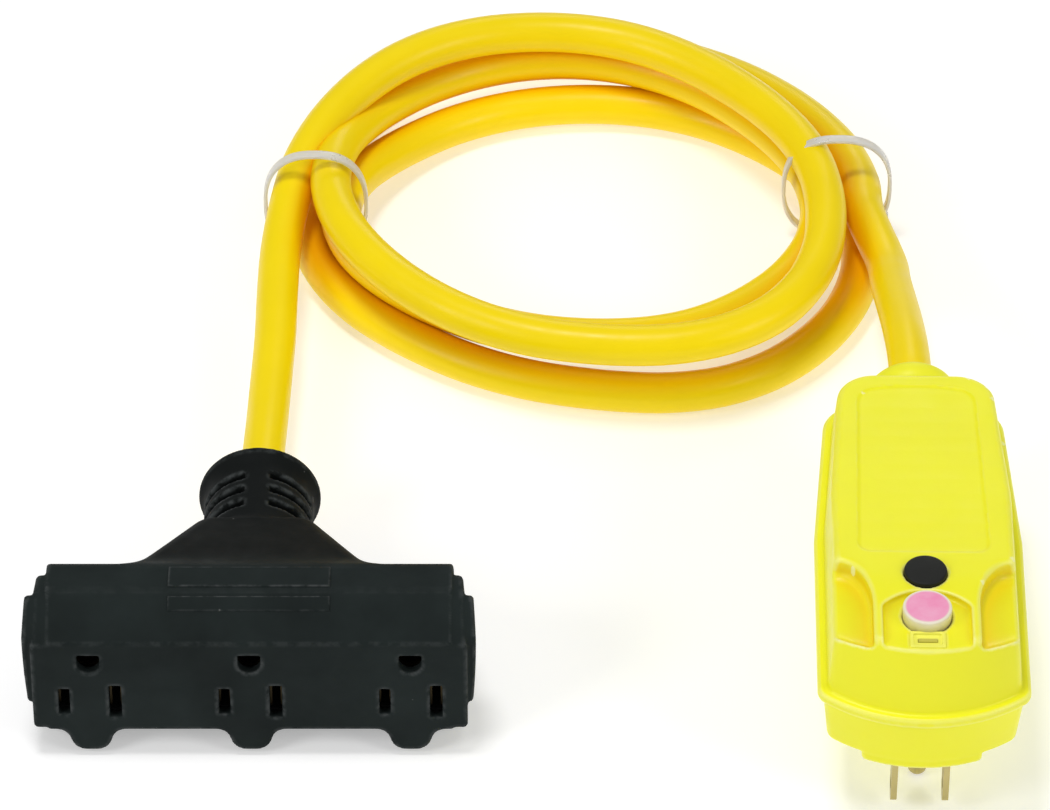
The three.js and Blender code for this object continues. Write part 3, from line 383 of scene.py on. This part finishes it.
def translucent_nylon():
    material = moulded("tie_nylon", (0.90, 0.885, 0.84), 0.3, grain_mm=1.2, mottle=0.02)
    shader = material.node_tree.nodes["Principled BSDF"]
    shader.inputs["Transmission Weight"].default_value = 0.35
    shader.inputs["IOR"].default_value = 1.5
    return material


def circuit_green():
    """Solder mask with faint tracks."""
    material = moulded("board_green", (0.02, 0.16, 0.06), 0.4, mottle=0.1)
    tree = material.node_tree
    coordinates = tree.nodes.new("ShaderNodeTexCoord")
    tracks = tree.nodes.new("ShaderNodeTexBrick")
    tracks.inputs["Scale"].default_value = 150
    tree.links.new(coordinates.outputs["Object"], tracks.inputs["Vector"])
    add_bump(tree, tree.nodes["Principled BSDF"], tracks.outputs["Fac"], 0.3, 0.0001)
    return material


# ---------------------------------------------------------------- meshes from profiles


def link_mesh(name, vertices, faces, material, smooth=True):
    mesh = bpy.data.meshes.new(name)
    mesh.from_pydata(vertices, [], faces)
    mesh.validate()
    mesh.polygons.foreach_set("use_smooth", [smooth] * len(mesh.polygons))
    mesh.materials.append(material)
    piece = bpy.data.objects.new(name, mesh)
    bpy.context.collection.objects.link(piece)
    return piece


def place_at(piece, place, turn):
    """Bakes a piece built in local millimetres into the row frame, in metres."""
    piece.data.transform(Matrix.Translation(Vector(place) * MM) @ turn @ Matrix.Scale(MM, 4))


def place_plug(piece):
    """From the plug's own axes to the frame."""
    place_at(piece, PLUG_AT, Matrix.Rotation(PLUG_HEADING, 4, "Z"))


def place_tap(piece):
    """From the tap's own axes to the frame."""
    place_at(piece, TAP_AT, Matrix.Rotation(TAP_PITCH, 4, "X"))


def finish_piece(piece, slot, *nodes):
    """A piece that rides on the housings and stands for CAD nodes."""
    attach(piece, HOUSINGS)
    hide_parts(*nodes)


# ---------------------------------------------------------------- distance fields


class Grid:
    """A box of sample points, in millimetres."""

    def __init__(self, low, high, step):
        self.low = np.array(low, float)
        self.step = step
        axes = [np.arange(a, b + step, step, dtype=np.float32) for a, b in zip(low, high)]
        self.x, self.y, self.z = np.meshgrid(*axes, indexing="ij", sparse=True)

    def mesh(self, name, field, material):
        band = 3 * self.step
        grid = openvdb.FloatGrid(band)
        grid.copyFromArray(np.ascontiguousarray(np.clip(field, -band, band), dtype=np.float32))
        points, quads = grid.convertToQuads(0.0)
        points = points * self.step + self.low
        return link_mesh(name, points.tolist(), quads.tolist(), material)


def round_both(a, b, radius):
    """Inside both a and b, with their outer edge rounded."""
    corner = np.hypot(np.maximum(a + radius, 0), np.maximum(b + radius, 0))
    return np.minimum(np.maximum(a, b), -radius) + corner


def round_either(a, b, radius):
    """Inside a or b, with the inner corner between them filleted."""
    corner = np.hypot(np.maximum(radius - a, 0), np.maximum(radius - b, 0))
    return np.maximum(np.minimum(a, b), radius) - corner


def carve(body, tool, radius=0.3):
    """The body without the tool, with the cut's rim rounded."""
    return round_both(body, -tool, radius)


def slab(value, low, high):
    return np.maximum(low - value, value - high)


def block(grid, low, high, radius=0.3):
    """A box from low to high with rounded edges."""
    field = slab(grid.x, low[0], high[0])
    field = round_both(field, slab(grid.y, low[1], high[1]), radius)
    return round_both(field, slab(grid.z, low[2], high[2]), radius)


def post(grid, x, y, radius, low_z, high_z):
    """An upright cylinder."""
    return np.maximum(np.hypot(grid.x - x, grid.y - y) - radius, slab(grid.z, low_z, high_z))


# ---------------------------------------------------------------- plug mouldings

PLAN = {
    "half": 26.0,
    "front": -9.9,
    "bow": 40.0,
    "taper": 54.0,
    "rear_half": 23.2,
    "rear": 104.5,
    "taper_corner": 11.0,
    "corner": 9.0,
    "nose_corner": 1.4,
}
FLANGE = {"low": 36.3, "high": 39.1}
ROOF = {"height": 58.6, "slope_from": 20.0, "slope": 0.078, "bend": 3.0, "laid_out_at": 60.5}
DECK = {"height": 57.0, "half": 10.7, "arc": 13.6, "arc_y": 2.2}
SCOOP = {"rib": 13.0, "straight": 11.2, "sweep_x": 8.5, "sweep_y": 15.5, "floor": 53.3}
TEST_BUTTON = {"y": 21.9, "radius": 5.2, "top": 59.6, "hole": 5.35}
RESET_BUTTON = {"y": 8.2, "radius": 5.9, "top": 60.3, "hole": 6.06}
SHELL = 2.2
BASE = {"low": 21.3, "high": 36.0, "floor": 23.4, "wall": 2.1}
BOSS = {"low": 19.05, "half": 14.7, "rear": 17.5}
BLADES = (-6.35, 6.35)
GROUND_PIN_Y = 11.9
CORD_Z = 37.5
BUSH = {"bore": 5.6, "neck": 7.7, "foot": 9.3, "disc": 11.8, "rounding": 2.6, "front": 102.9, "tip": 111.2}
SCREWS = [(-19.3, 14), (19.3, 14), (-17.6, 86), (17.6, 86)]


def bow_front(grid):
    """The bowed front edge of the flange."""
    bow = PLAN["bow"]
    return PLAN["front"] + bow - np.sqrt(np.maximum(bow**2 - grid.x**2, 1))


def plug_plan(grid, side, front, rear):
    """The plug's plan, drawn in by side, front and rear insets, which may vary over the grid."""
    straight = PLAN["rear"] - PLAN["taper_corner"] - PLAN["taper"]
    along = np.clip((grid.y - PLAN["taper"]) / straight, 0, 1.3)
    half = PLAN["half"] - (PLAN["half"] - PLAN["rear_half"]) * along
    sides = np.abs(grid.x) - half + side
    back = grid.y - PLAN["rear"] + rear
    bow = PLAN["bow"]
    chord = np.sqrt(np.maximum(bow**2 - grid.x**2, 1))
    nose = (PLAN["front"] + bow - chord - grid.y) * chord / bow + front
    rounded = round_both(sides, back, PLAN["corner"])
    return round_both(rounded, nose, PLAN["nose_corner"])


def roof_height(grid):
    """The top face: level round the buttons, then falling to the cord end through a soft bend."""
    beyond = grid.y - ROOF["slope_from"]
    run = 0.5 * (beyond + np.sqrt(beyond**2 + ROOF["bend"] ** 2))
    return ROOF["height"] - ROOF["slope"] * run


def bush_room(grid):
    """Room for the strain relief in the rear wall."""
    across = np.hypot(grid.x, grid.z - CORD_Z)
    return np.minimum(
        np.maximum(across - 8.0, 92 - grid.y), np.maximum(across - 12.2, 102.5 - grid.y)
    )


def plug_cover_field(grid):
    """The upper shell, as a hollow of even wall thickness under its outer shapes."""
    body, wall, roof = cover_outside(grid)
    recess = deck_recess(grid)
    scoop = scoops(grid)
    body = carve(body, recess, 0.55)
    body = carve(body, scoop, 0.95)
    hollow = np.maximum(np.maximum(wall, roof), np.maximum(-recess, -scoop)) + SHELL
    body = np.maximum(body, -hollow)
    body = carve(body, label_frame(grid), 0.35)
    for button in (TEST_BUTTON, RESET_BUTTON):
        body = carve(body, post(grid, 0, button["y"], button["hole"], 40, 70), 0.2)
    body = carve(body, block(grid, (-4.2, -2.6, 56.2), (4.2, 2.6, 70), 0.2), 0.1)
    body = carve(body, block(grid, (-2.6, -0.85, 45), (2.6, 0.85, 70), 0.2), 0.1)
    return np.maximum(body, -bush_room(grid))


def cover_outside(grid):
    """The cover as a solid with its flange, and its wall and its roof on their own."""
    rise = np.clip((grid.z - FLANGE["high"]) / (ROOF["laid_out_at"] - FLANGE["high"]), -0.2, 1.1)
    wall = plug_plan(grid, 2.3 + 1.9 * rise, 2.3 + 4.1 * rise, 2.3 + 0.7 * rise)
    roof = grid.z - roof_height(grid)
    body = round_both(wall, roof, 1.5)
    flange = round_both(plug_plan(grid, 0, 0, 0), slab(grid.z, FLANGE["low"], FLANGE["high"]), 1.0)
    body = np.maximum(body, FLANGE["low"] - grid.z)
    return round_either(body, flange, 0.7), wall, roof


def deck_recess(grid):
    """The sunken deck round the RESET button, round at the back and open at the front."""
    inside_arc = np.where(
        grid.y > DECK["arc_y"],
        np.hypot(grid.x, grid.y - DECK["arc_y"]) - DECK["arc"],
        np.abs(grid.x) - DECK["arc"],
    )
    recess = round_both(np.abs(grid.x) - DECK["half"], inside_arc, 0.5)
    return round_both(recess, DECK["height"] - grid.z, 0.9)


def scoops(grid):
    """The two finger scoops: swept back along the ribs, with a raised rim at the front."""
    reach_x = np.maximum(SCOOP["rib"] + SCOOP["sweep_x"] - np.abs(grid.x), 0) / SCOOP["sweep_x"]
    reach_y = np.maximum(grid.y - SCOOP["straight"], 0) / SCOOP["sweep_y"]
    outline = (np.hypot(reach_x, reach_y) - 1) * 9.5
    outward = np.clip(np.abs(grid.x) - SCOOP["rib"], 0, 12)
    front_rim = 3.4 * np.exp(-np.maximum(grid.y - bow_front(grid) - 5.6, 0) / 1.5)
    floor = SCOOP["floor"] - 0.1 * outward + front_rim
    return round_both(outline, floor - grid.z, 1.7)


def label_frame(grid):
    """The shallow panel on the roof, arched at the back."""
    frame_half = 16 - 0.022 * (grid.y - 30)
    frame = round_both(np.abs(grid.x) - frame_half, grid.y - 97 + grid.x**2 / 90, 4)
    frame = round_both(frame, 30.5 - grid.y, 3)
    return round_both(frame, roof_height(grid) - 0.3 - grid.z, 0.3)


def plug_base_field(grid):
    """The lower shell: flared walls, the boss that meets a receptacle, and its holes."""
    low = BASE["low"]
    rise = np.clip((grid.z - low) / (BASE["high"] - low), -0.2, 1.1)
    wall = plug_plan(grid, 2.9 - 1.4 * rise, 3.8 - 2.3 * rise, 3.5 - 2 * rise)
    body = round_both(wall, low - grid.z, 1.1)
    boss = round_both(np.abs(grid.x) - BOSS["half"], plug_plan(grid, 3.8, 3.8, 3.5), 0.8)
    boss = round_both(boss, grid.y - BOSS["rear"], 0.8)
    boss = round_both(boss, slab(grid.z, BOSS["low"], BASE["floor"] + 0.6), 0.35)
    body = round_either(body, boss, 0.5)
    body = round_both(body, grid.z - BASE["high"], 0.25)
    hollow = np.maximum(wall + BASE["wall"], BASE["floor"] - grid.z)
    body = np.maximum(body, -hollow)
    for x in BLADES:
        body = carve(body, block(grid, (x - 1.05, -3.5, 10), (x + 1.05, 3.5, 30), 0.1), 0.2)
    body = carve(body, post(grid, 0, GROUND_PIN_Y, 2.7, 10, 30), 0.25)
    for x, y in SCREWS:
        body = carve(body, post(grid, x, y, 2.9, 10, 24.2), 0.3)
    return np.maximum(body, -bush_room(grid))


def make_plug_shells(material, step):
    cover_grid = Grid((-27.2, -11.2, 35), (27.2, 105.8, 60), step)
    cover = cover_grid.mesh("plug_cover_shell", plug_cover_field(cover_grid), material)
    place_plug(cover)
    finish_piece(cover, "plug_shell", "plug_cover")
    base_grid = Grid((-27.2, -11.2, 18), (27.2, 105.8, 37), step)
    base = base_grid.mesh("plug_base_shell", plug_base_field(base_grid), material)
    place_plug(base)
    finish_piece(base, "plug_shell", "plug_base")


def make_window(material):
    """The indicator's bezel in the deck, with the slot that the lens fills."""
    grid = Grid((-5, -3.4, 55.6), (5, 3.4, 58.2), 0.15)
    field = block(grid, (-4.35, -2.75, 56.25), (4.35, 2.75, DECK["height"] + 0.4), 0.25)
    field = carve(field, block(grid, (-3.4, -1.9, DECK["height"] - 0.3), (3.4, 1.9, 60), 0.15), 0.1)
    field = carve(field, block(grid, (-2.4, -0.65, 50), (2.4, 0.65, 60), 0.1), 0.1)
    window = grid.mesh("indicator_bezel", field, material)
    place_plug(window)
    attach(window, HOUSINGS)


# ---------------------------------------------------------------- tap moulding

BAR = {
    "half": 50.3,
    "face": 13.6,
    "top": 23.0,
    "bottom": 20.4,
    "chamfer": 9.7,
    "rear_top": 20.0,
    "rear": 30.5,
}
END_STEP = {"half": 53.9, "draw_in": 0.07, "rear": 17.5, "inset": 0.7}
END_PAD = {"half": 56.1, "draw_in": 0.06, "front": 1.6, "rear": 19.0, "low": -6.6, "inset": 1.4}
LOBE = {"half": 5.1, "rounding": 3.9, "rear": 10.0}
NECK = {"front": 20.0, "length": 30.5, "half": 33.1, "narrows": 17.0, "flare": 3.0}
OUTLETS = (-39.7, 0.0, 39.7)
GROUND_HOLE = {"z": 7.0, "radius": 2.8, "flat": 2.6}
LINE_SLOT = {"x": -6.35, "width": 2.8, "height": 7.9}
NEUTRAL_SLOT = {"x": 6.35, "width": 3.1, "height": 9.9}
SLOTS_Z = -5.0
SLEEVE = {"radius": 14.0, "front": 45.0, "rim_y": 77.0, "rim": 1.6, "bore": 5.55}
SLOT_ROWS = (56.7, 62.2, 67.7)


def beyond_line(grid, up, start, end):
    """Outside the line from start to end, each (y, z), with z measured up (1) or down (-1)."""
    run = end[0] - start[0]
    rise = end[1] - start[1]
    return (run * (up * grid.z - start[1]) - rise * (grid.y - start[0])) / math.hypot(run, rise)


def bar_section(grid, inset):
    """The bar's section without its outlet face, drawn in by inset."""
    field = grid.y - BAR["rear"] + inset
    for up, height in ((1, BAR["top"]), (-1, BAR["bottom"])):
        front = beyond_line(grid, up, (0, BAR["face"]), (BAR["chamfer"], height))
        rear = beyond_line(grid, up, (BAR["rear_top"], height), (BAR["rear"], BAR["face"]))
        field = round_both(field, up * grid.z - height + inset, 1.0)
        field = round_both(field, front + inset * 0.6, 1.0)
        field = round_both(field, rear + inset * 0.6, 1.0)
    return field


def bar(grid):
    """The bar with the two steps on each end, drawn in towards the back."""
    full = round_both(bar_section(grid, 0), np.abs(grid.x) - BAR["half"], 0.7)
    step = round_both(bar_section(grid, END_STEP["inset"]), grid.y - END_STEP["rear"], 2)
    drawn_in = END_STEP["draw_in"] * grid.y
    step = round_both(step, np.abs(grid.x) - END_STEP["half"] + drawn_in, 1.2)
    rear_slope = beyond_line(grid, 1, (9.4, 21.6), (19, 13))
    pad = round_both(bar_section(grid, END_PAD["inset"]), rear_slope, 1.5)
    pad = round_both(pad, grid.y - END_PAD["rear"], 2.5)
    pad = round_both(pad, END_PAD["low"] - grid.z, 2.2)
    pad = round_both(pad, END_PAD["front"] - grid.y, 1.0)
    bowed_in = 0.0022 * (grid.z - 12) ** 2 + END_PAD["draw_in"] * grid.y
    pad = round_both(pad, np.abs(grid.x) - END_PAD["half"] + bowed_in, 0.9)
    return round_either(full, round_either(step, pad, 0.5), 0.4)


def lobes(grid):
    """A rounded keying lobe under each outlet, with fillets into the bar's lower edge."""
    field = -BAR["face"] - grid.z
    for x in OUTLETS:
        across = np.abs(grid.x - x) - LOBE["half"]
        lobe = round_both(across, -BAR["bottom"] - grid.z, LOBE["rounding"])
        field = round_either(field, lobe, 4.2)
    field = np.maximum(field, np.abs(grid.x) - 50)
    return np.maximum(np.maximum(field, grid.y - LOBE["rear"]), grid.z)


def neck(grid):
    """The wedge that narrows from the bar to the strain relief."""
    along = np.clip((grid.y - NECK["front"]) / NECK["length"], 0, 1)
    wide = NECK["half"] - NECK["narrows"] * along + NECK["flare"] * (1 - along) ** 9
    top = 21.6 - 7.4 * along
    bottom = 18.9 - 4.7 * along
    over = np.where(grid.z > 0, grid.z - top, -bottom - grid.z)
    field = round_both(np.abs(grid.x) - wide, over, 6.5)
    field = round_both(field * 0.9, grid.y - NECK["front"] - NECK["length"], 1.8)
    return np.maximum(field, NECK["front"] - 1 - grid.y)


def sleeve(grid):
    """The slotted strain relief: a collar with three rows of slots and a flared rim."""
    across = np.hypot(grid.x, grid.z)
    beyond = across - SLEEVE["radius"]
    rim_y = SLEEVE["rim_y"]
    collar = round_both(beyond, slab(grid.y, SLEEVE["front"], rim_y - 0.6), 0.3)
    swell = np.clip((grid.y - rim_y + 6) / 4.2, 0, 1)
    rim = round_both(beyond - SLEEVE["rim"] * swell**2, slab(grid.y, rim_y - 6, rim_y), 0.7)
    field = np.minimum(collar, rim)
    gap = np.minimum(np.abs(grid.x), np.abs(grid.z))
    for y in SLOT_ROWS:
        slot = round_both(slab(grid.y, y - 1.25, y + 1.25), 10.2 - across, 0.4)
        slot = round_both(slot, 3.1 - gap, 0.5)
        field = carve(field, slot, 0.25)
    dish = np.maximum(across - 12.6 + 0.5 * (rim_y - grid.y), rim_y - 1.1 - grid.y)
    field = carve(field, dish, 0.3)
    return np.maximum(field, SLEEVE["bore"] - across)


def ground_hole(grid, x):
    """A D-shaped hole, flat on top."""
    above = grid.z - GROUND_HOLE["z"]
    around = np.hypot(grid.x - x, np.minimum(above, 0)) - GROUND_HOLE["radius"]
    return round_both(around, above - GROUND_HOLE["flat"], 0.3)


def blade_slot(grid, outlet_x, slot):
    """An upright slot for a blade, on its side of the outlet."""
    across = np.abs(grid.x - outlet_x - slot["x"]) - slot["width"] / 2
    return np.maximum(across, np.abs(grid.z - SLOTS_Z) - slot["height"] / 2)


def tap_field(grid):
    """The whole moulding, with its outlets cut and room inside for the contact block and the cord."""
    body = round_either(bar(grid), lobes(grid), 0.6)
    body = round_both(body, -grid.y, 0.5)

    body = round_either(body, neck(grid), 2.0)
    body = round_either(body, sleeve(grid), 1.6)
    face_wall = slab(grid.y, -9.5, 4)
    for x in OUTLETS:
        body = carve(body, np.maximum(ground_hole(grid, x), face_wall), 0.45)
        slots = np.minimum(blade_slot(grid, x, LINE_SLOT), blade_slot(grid, x, NEUTRAL_SLOT))
        body = carve(body, np.maximum(slots, face_wall), 0.35)
    pocket = block(grid, (-48, 3, -12.6), (48, 19, 12.3), 0.3)
    body = np.maximum(body, -pocket)
    bore = np.maximum(np.hypot(grid.x, grid.z) - SLEEVE["bore"], 18 - grid.y)
    return np.maximum(body, -bore)


def label_pads_field(grid):
    """The blank raised panel on the bar's top and the narrow one on its slope."""
    top = block(grid, (-20, 10.7, 22.4), (20, 18.3, BAR["top"] + 0.45), 0.12)
    slope = beyond_line(grid, 1, (0, BAR["face"]), (BAR["chamfer"], BAR["top"]))
    slope = round_both(np.abs(slope) - 0.38, slab(grid.x, -20, 20), 0.1)
    return np.minimum(top, round_both(slope, slab(grid.y, 5.7, 8.5), 0.1))


def make_tap(material, step):
    grid = Grid((-57.2, -1.2, -21.6), (57.2, 78.2, 24.4), step)
    tap = grid.mesh("tap_moulding", tap_field(grid), material)
    place_tap(tap)
    finish_piece(tap, "tap_vinyl", "tap_body", "tap_strain_relief")
    pad_grid = Grid((-20.8, 5, 18), (20.8, 19, 24.2), 0.25)
    pads = pad_grid.mesh("tap_label_pads", label_pads_field(pad_grid), material)
    place_tap(pads)
    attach(pads, HOUSINGS)


# ---------------------------------------------------------------- cord, bush and ties


def smooth_route(points, per_step):
    """Points of a uniform Catmull-Rom curve through a route, per_step for each gap in it."""
    p = np.array(points, float)
    p = np.vstack([2 * p[0] - p[1], p, 2 * p[-1] - p[-2]])
    route = []
    for i in range(1, len(p) - 2):
        for k in range(per_step):
            t = k / per_step
            a = 2 * p[i]
            b = p[i + 1] - p[i - 1]
            c = 2 * p[i - 1] - 5 * p[i] + 4 * p[i + 1] - p[i + 2]
            d = -p[i - 1] + 3 * p[i] - 3 * p[i + 1] + p[i + 2]
            route.append(0.5 * (a + b * t + c * t**2 + d * t**3))
    route.append(p[-2])
    return np.array(route)


def coil_route():
    """The coiled stretch, from its radius and height at every eighth of a turn."""
    stations = [station for turn in COIL_TURNS for station in turn]
    polar = smooth_route([(i * EIGHTH_TURN, r, z) for i, (r, z) in enumerate(stations)], 4)
    return [
        (COIL_CENTRE[0] - r * math.cos(a), COIL_CENTRE[1] + r * math.sin(a), z)
        for a, r, z in polar
    ]


def make_cord(material):
    route = smooth_route(TAP_LEAD + coil_route() + PLUG_LEAD[::-1], 4) * MM
    data = bpy.data.curves.new("cord", "CURVE")
    data.dimensions = "3D"
    data.bevel_depth = CORD_DIAMETER / 2 * MM
    data.bevel_resolution = 7
    data.use_fill_caps = True
    spline = data.splines.new("POLY")
    spline.points.add(len(route) - 1)
    spline.points.foreach_set("co", np.column_stack([route, np.ones(len(route))]).ravel())
    spline.use_smooth = True
    cord = bpy.data.objects.new("cord", data)
    bpy.context.collection.objects.link(cord)
    data.materials.append(material)
    return cord


def lathe(name, profile, sides, material):
    """A closed profile of (radius, y) turned about the Y axis, in millimetres."""
    vertices = []
    faces = []
    count = len(profile)
    for i in range(sides):
        angle = 2 * math.pi * i / sides
        vertices += [(r * math.cos(angle), y, r * math.sin(angle)) for r, y in profile]
        nxt = (i + 1) % sides
        for k in range(count):
            k2 = (k + 1) % count
            faces.append((i * count + k, i * count + k2, nxt * count + k2, nxt * count + k))
    return link_mesh(name, vertices, faces, material)


def make_button_cap(name, body, button, dome, edge, material):
    """The visible head of a button, with a rounded edge and a slightly domed top."""
    radius = button["radius"] + 0.06
    profile = [(0.0, button["top"] - 3.6), (radius, button["top"] - 3.6)]
    for i in range(7):
        angle = math.pi / 2 * i / 6
        across = radius - edge + edge * math.cos(angle)
        profile.append((across, button["top"] - edge + edge * math.sin(angle)))
    for i in range(1, 9):
        share = 1 - i / 8
        across = (radius - edge) * share
        profile.append((across, button["top"] + dome * (1 - share**2)))
    cap = lathe(name, profile, 72, material)
    cap.data.transform(Matrix.Rotation(math.pi / 2, 4, "X"))
    cap.data.transform(Matrix.Translation((0, button["y"], 0)))
    place_plug(cap)
    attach(cap, body)
    return cap


def make_bush(material):
    """The plug's domed cord bush: a foot inside the wall, a neck through it and a disc outside."""
    bore = BUSH["bore"]
    rounding = BUSH["rounding"]
    profile = [(bore, 96.8), (BUSH["foot"], 96.8), (BUSH["foot"], 99.4), (BUSH["neck"], 99.4)]
    profile += [(BUSH["neck"], BUSH["front"]), (BUSH["disc"], BUSH["front"])]
    for i in range(7):
        angle = math.pi / 2 * i / 6
        out = BUSH["disc"] - rounding + rounding * math.cos(angle)
        profile.append((out, BUSH["tip"] - rounding + rounding * math.sin(angle)))
    profile += [(bore + 0.5, BUSH["tip"] + 0.2), (bore, BUSH["tip"] - 0.3)]
    bush = lathe("plug_bush", profile, 64, material)
    bush.data.transform(Matrix.Translation((0, 0, CORD_Z)))
    place_plug(bush)
    finish_piece(bush, "plug_shell", "plug_strain_relief")


TIES = {
    "left": {"x_low": -70.6, "x_high": -42.4, "y": 160, "top": 34.8, "head_x": -66.6, "head_z": 5.4},
    "right": {"x_low": 69.6, "x_high": 99.4, "y": 167, "top": 34.4, "head_x": 97.0, "head_z": 5.0},
}
TIE_THICKNESS = 1.0
TIE_HALF_WIDTH = 1.35
TIE_HEAD = (1.9, 2.1, 2.2)


def make_tie(side, material):
    """A nylon tie: a flat band bowed round the strands, with its head under the outer strand."""
    tie = TIES[side]
    steps = 72
    half_x = (tie["x_high"] - tie["x_low"]) / 2
    half_z = tie["top"] / 2
    middle = (tie["x_low"] + tie["x_high"]) / 2
    y = tie["y"]
    power = 0.82  # under one, so the band is a little squarer than an ellipse
    vertices = []
    faces = []
    ring = [
        (-TIE_HALF_WIDTH, 0),
        (TIE_HALF_WIDTH, 0),
        (TIE_HALF_WIDTH, TIE_THICKNESS),
        (-TIE_HALF_WIDTH, TIE_THICKNESS),
    ]
    for i in range(steps):
        angle = 2 * math.pi * i / steps
        c = math.copysign(abs(math.cos(angle)) ** power, math.cos(angle))
        s = math.copysign(abs(math.sin(angle)) ** power, math.sin(angle))
        for across, inward in ring:
            vertices.append(
                (middle + (half_x - inward) * c, y + across, half_z + (half_z - inward) * s)
            )
        nxt = (i + 1) % steps
        faces += [
            (i * 4 + k, i * 4 + (k + 1) % 4, nxt * 4 + (k + 1) % 4, nxt * 4 + k) for k in range(4)
        ]
    band = link_mesh("tie_" + side, [tuple(Vector(v) * MM) for v in vertices], faces, material)
    bevel = band.modifiers.new("soft edges", "BEVEL")
    bevel.width = 0.25 * MM
    bevel.segments = 2
    bevel.limit_method = "ANGLE"
    head = add_tie_head(band.name + "_head", (tie["head_x"], y, tie["head_z"]), material)
    head.parent = band
    finish_piece(band, "clear_plastic", "cable_tie_" + side)
    return band


def add_tie_head(name, middle, material):
    """The tie's locking head: a small block with a slot through it."""
    outer = np.array(TIE_HEAD)
    grid = Grid(-outer - 1, outer + 1, 0.2)
    field = block(grid, -outer, outer, 0.5)
    field = carve(field, block(grid, (-0.7, -1.5, -9), (0.7, 1.5, 9), 0.1), 0.15)
    head = grid.mesh(name, field, material)
    place_at(head, middle, Matrix.Identity(4))
    return head


# ---------------------------------------------------------------- CAD nodes that stay


def dress(nodes, names, material):
    """Gives CAD nodes their finish, softly bevelled and smooth where they are round."""
    for name in names:
        node = nodes[name]
        node.data.materials.clear()
        node.data.materials.append(material)
        node.data.polygons.foreach_set("use_smooth", [True] * len(node.data.polygons))
        bevel = node.modifiers.new("edges", "BEVEL")
        bevel.width = 0.12 * MM
        bevel.segments = 2
        bevel.limit_method = "ANGLE"
        bevel.angle_limit = math.radians(35)
        bevel.harden_normals = True


def dress_frame(nodes, clear):
    """Finishes for the metalwork, the mechanism and the wires."""
    brass = moulded("brass", (0.50, 0.42, 0.19), 0.34, 0.4, 0.00002, 0.08, metallic=1.0)
    # Painted shade: the buses are coloured near black so that the outlet slots look dark.
    bronze = moulded("bronze_painted_shade", (0.07, 0.055, 0.03), 0.5, 0.4, 0.00002, 0.1, metallic=1.0)
    steel = moulded("zinc_steel", (0.62, 0.63, 0.65), 0.32, 0.4, 0.00002, 0.05, metallic=1.0)
    copper = moulded("copper_alloy", (0.66, 0.33, 0.15), 0.32, 0.4, 0.00002, 0.06, metallic=1.0)
    black = moulded("black_nylon", (0.012, 0.013, 0.014), 0.42, 0.4, mottle=0.12)
    nylon = moulded("natural_nylon", (0.72, 0.69, 0.60), 0.45, 0.6)
    blue = moulded("blue_epoxy", (0.02, 0.06, 0.35), 0.35, 0.8)
    dark = moulded("core_black", (0.014, 0.014, 0.014), 0.5, 0.5)
    pale = moulded("core_white", (0.75, 0.75, 0.72), 0.5, 0.5)
    green = moulded("core_green", (0.01, 0.22, 0.06), 0.5, 0.5)
    dress(nodes, ["line_blade", "neutral_blade", "ground_pin"], brass)
    dress(nodes, ["line_bus", "neutral_bus", "ground_bus"], bronze)
    dress(nodes, [f"cover_screw_{i}" for i in range(1, 5)], steel)
    dress(nodes, ["clamp_screw_left", "clamp_screw_right", "latch_plate", "solenoid_plunger"], steel)
    springs = ["test_spring", "reset_spring", "break_spring_left", "break_spring_right"]
    dress(nodes, [*springs, "plunger_spring"], steel)
    contacts = [f"{pole}_{kind}_contact" for pole in ("line", "neutral") for kind in ("fixed", "moving")]
    dress(nodes, [*contacts, "test_contact", "solenoid_winding"], copper)
    dress(nodes, ["test_button", "sense_coil", "neutral_sense_coil", "controller_chip"], black)
    dress(nodes, ["contact_block"], black)
    dress(nodes, ["mechanism_frame", "contact_carrier", "solenoid_bobbin", "cord_clamp"], nylon)
    dress(nodes, ["varistor", "filter_capacitor"], blue)
    dress(nodes, ["indicator_led"], clear)
    dress(nodes, ["indicator_lens"], moulded("lens_amber", (0.60, 0.55, 0.08), 0.3))
    dress(nodes, ["circuit_board"], circuit_green())
    dress(nodes, ["line_conductor", "tap_line_wire"], dark)
    dress(nodes, ["neutral_conductor", "tap_neutral_wire"], pale)
    dress(nodes, ["ground_conductor", "tap_ground_wire"], green)
    dress(nodes, ["reset_button"], nylon)


def main():
    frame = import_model()
    add_camera()
    cord = make_cord(cord_yellow())
    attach(cord, HOUSINGS)
    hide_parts("cord_lead_tap", "cord_coil", "cord_lead_plug")

    add_stage()
    step = 0.5
    yellow = plug_yellow()
    make_plug_shells(yellow, step * 0.9)
    make_bush(moulded("bush_yellow", (0.92, 0.90, 0.03), 0.4, 0.6, mottle=0.015, sheen=0.3))
    make_window(moulded("bezel_yellow", (0.95, 0.93, 0.13), 0.3, 0.6, mottle=0.01, sheen=0.4))
    make_tap(tap_charcoal(), step)
    test_cap = make_button_cap("test_cap", "test_button", TEST_BUTTON, 0.12, 0.5, test_black())
    reset_cap = make_button_cap("reset_cap", "reset_button", RESET_BUTTON, 0.05, 0.45, reset_pink())
    clear = translucent_nylon()
    dress_frame(frame["nodes"], clear)
    ties = [make_tie(side, clear) for side in TIES]


main()
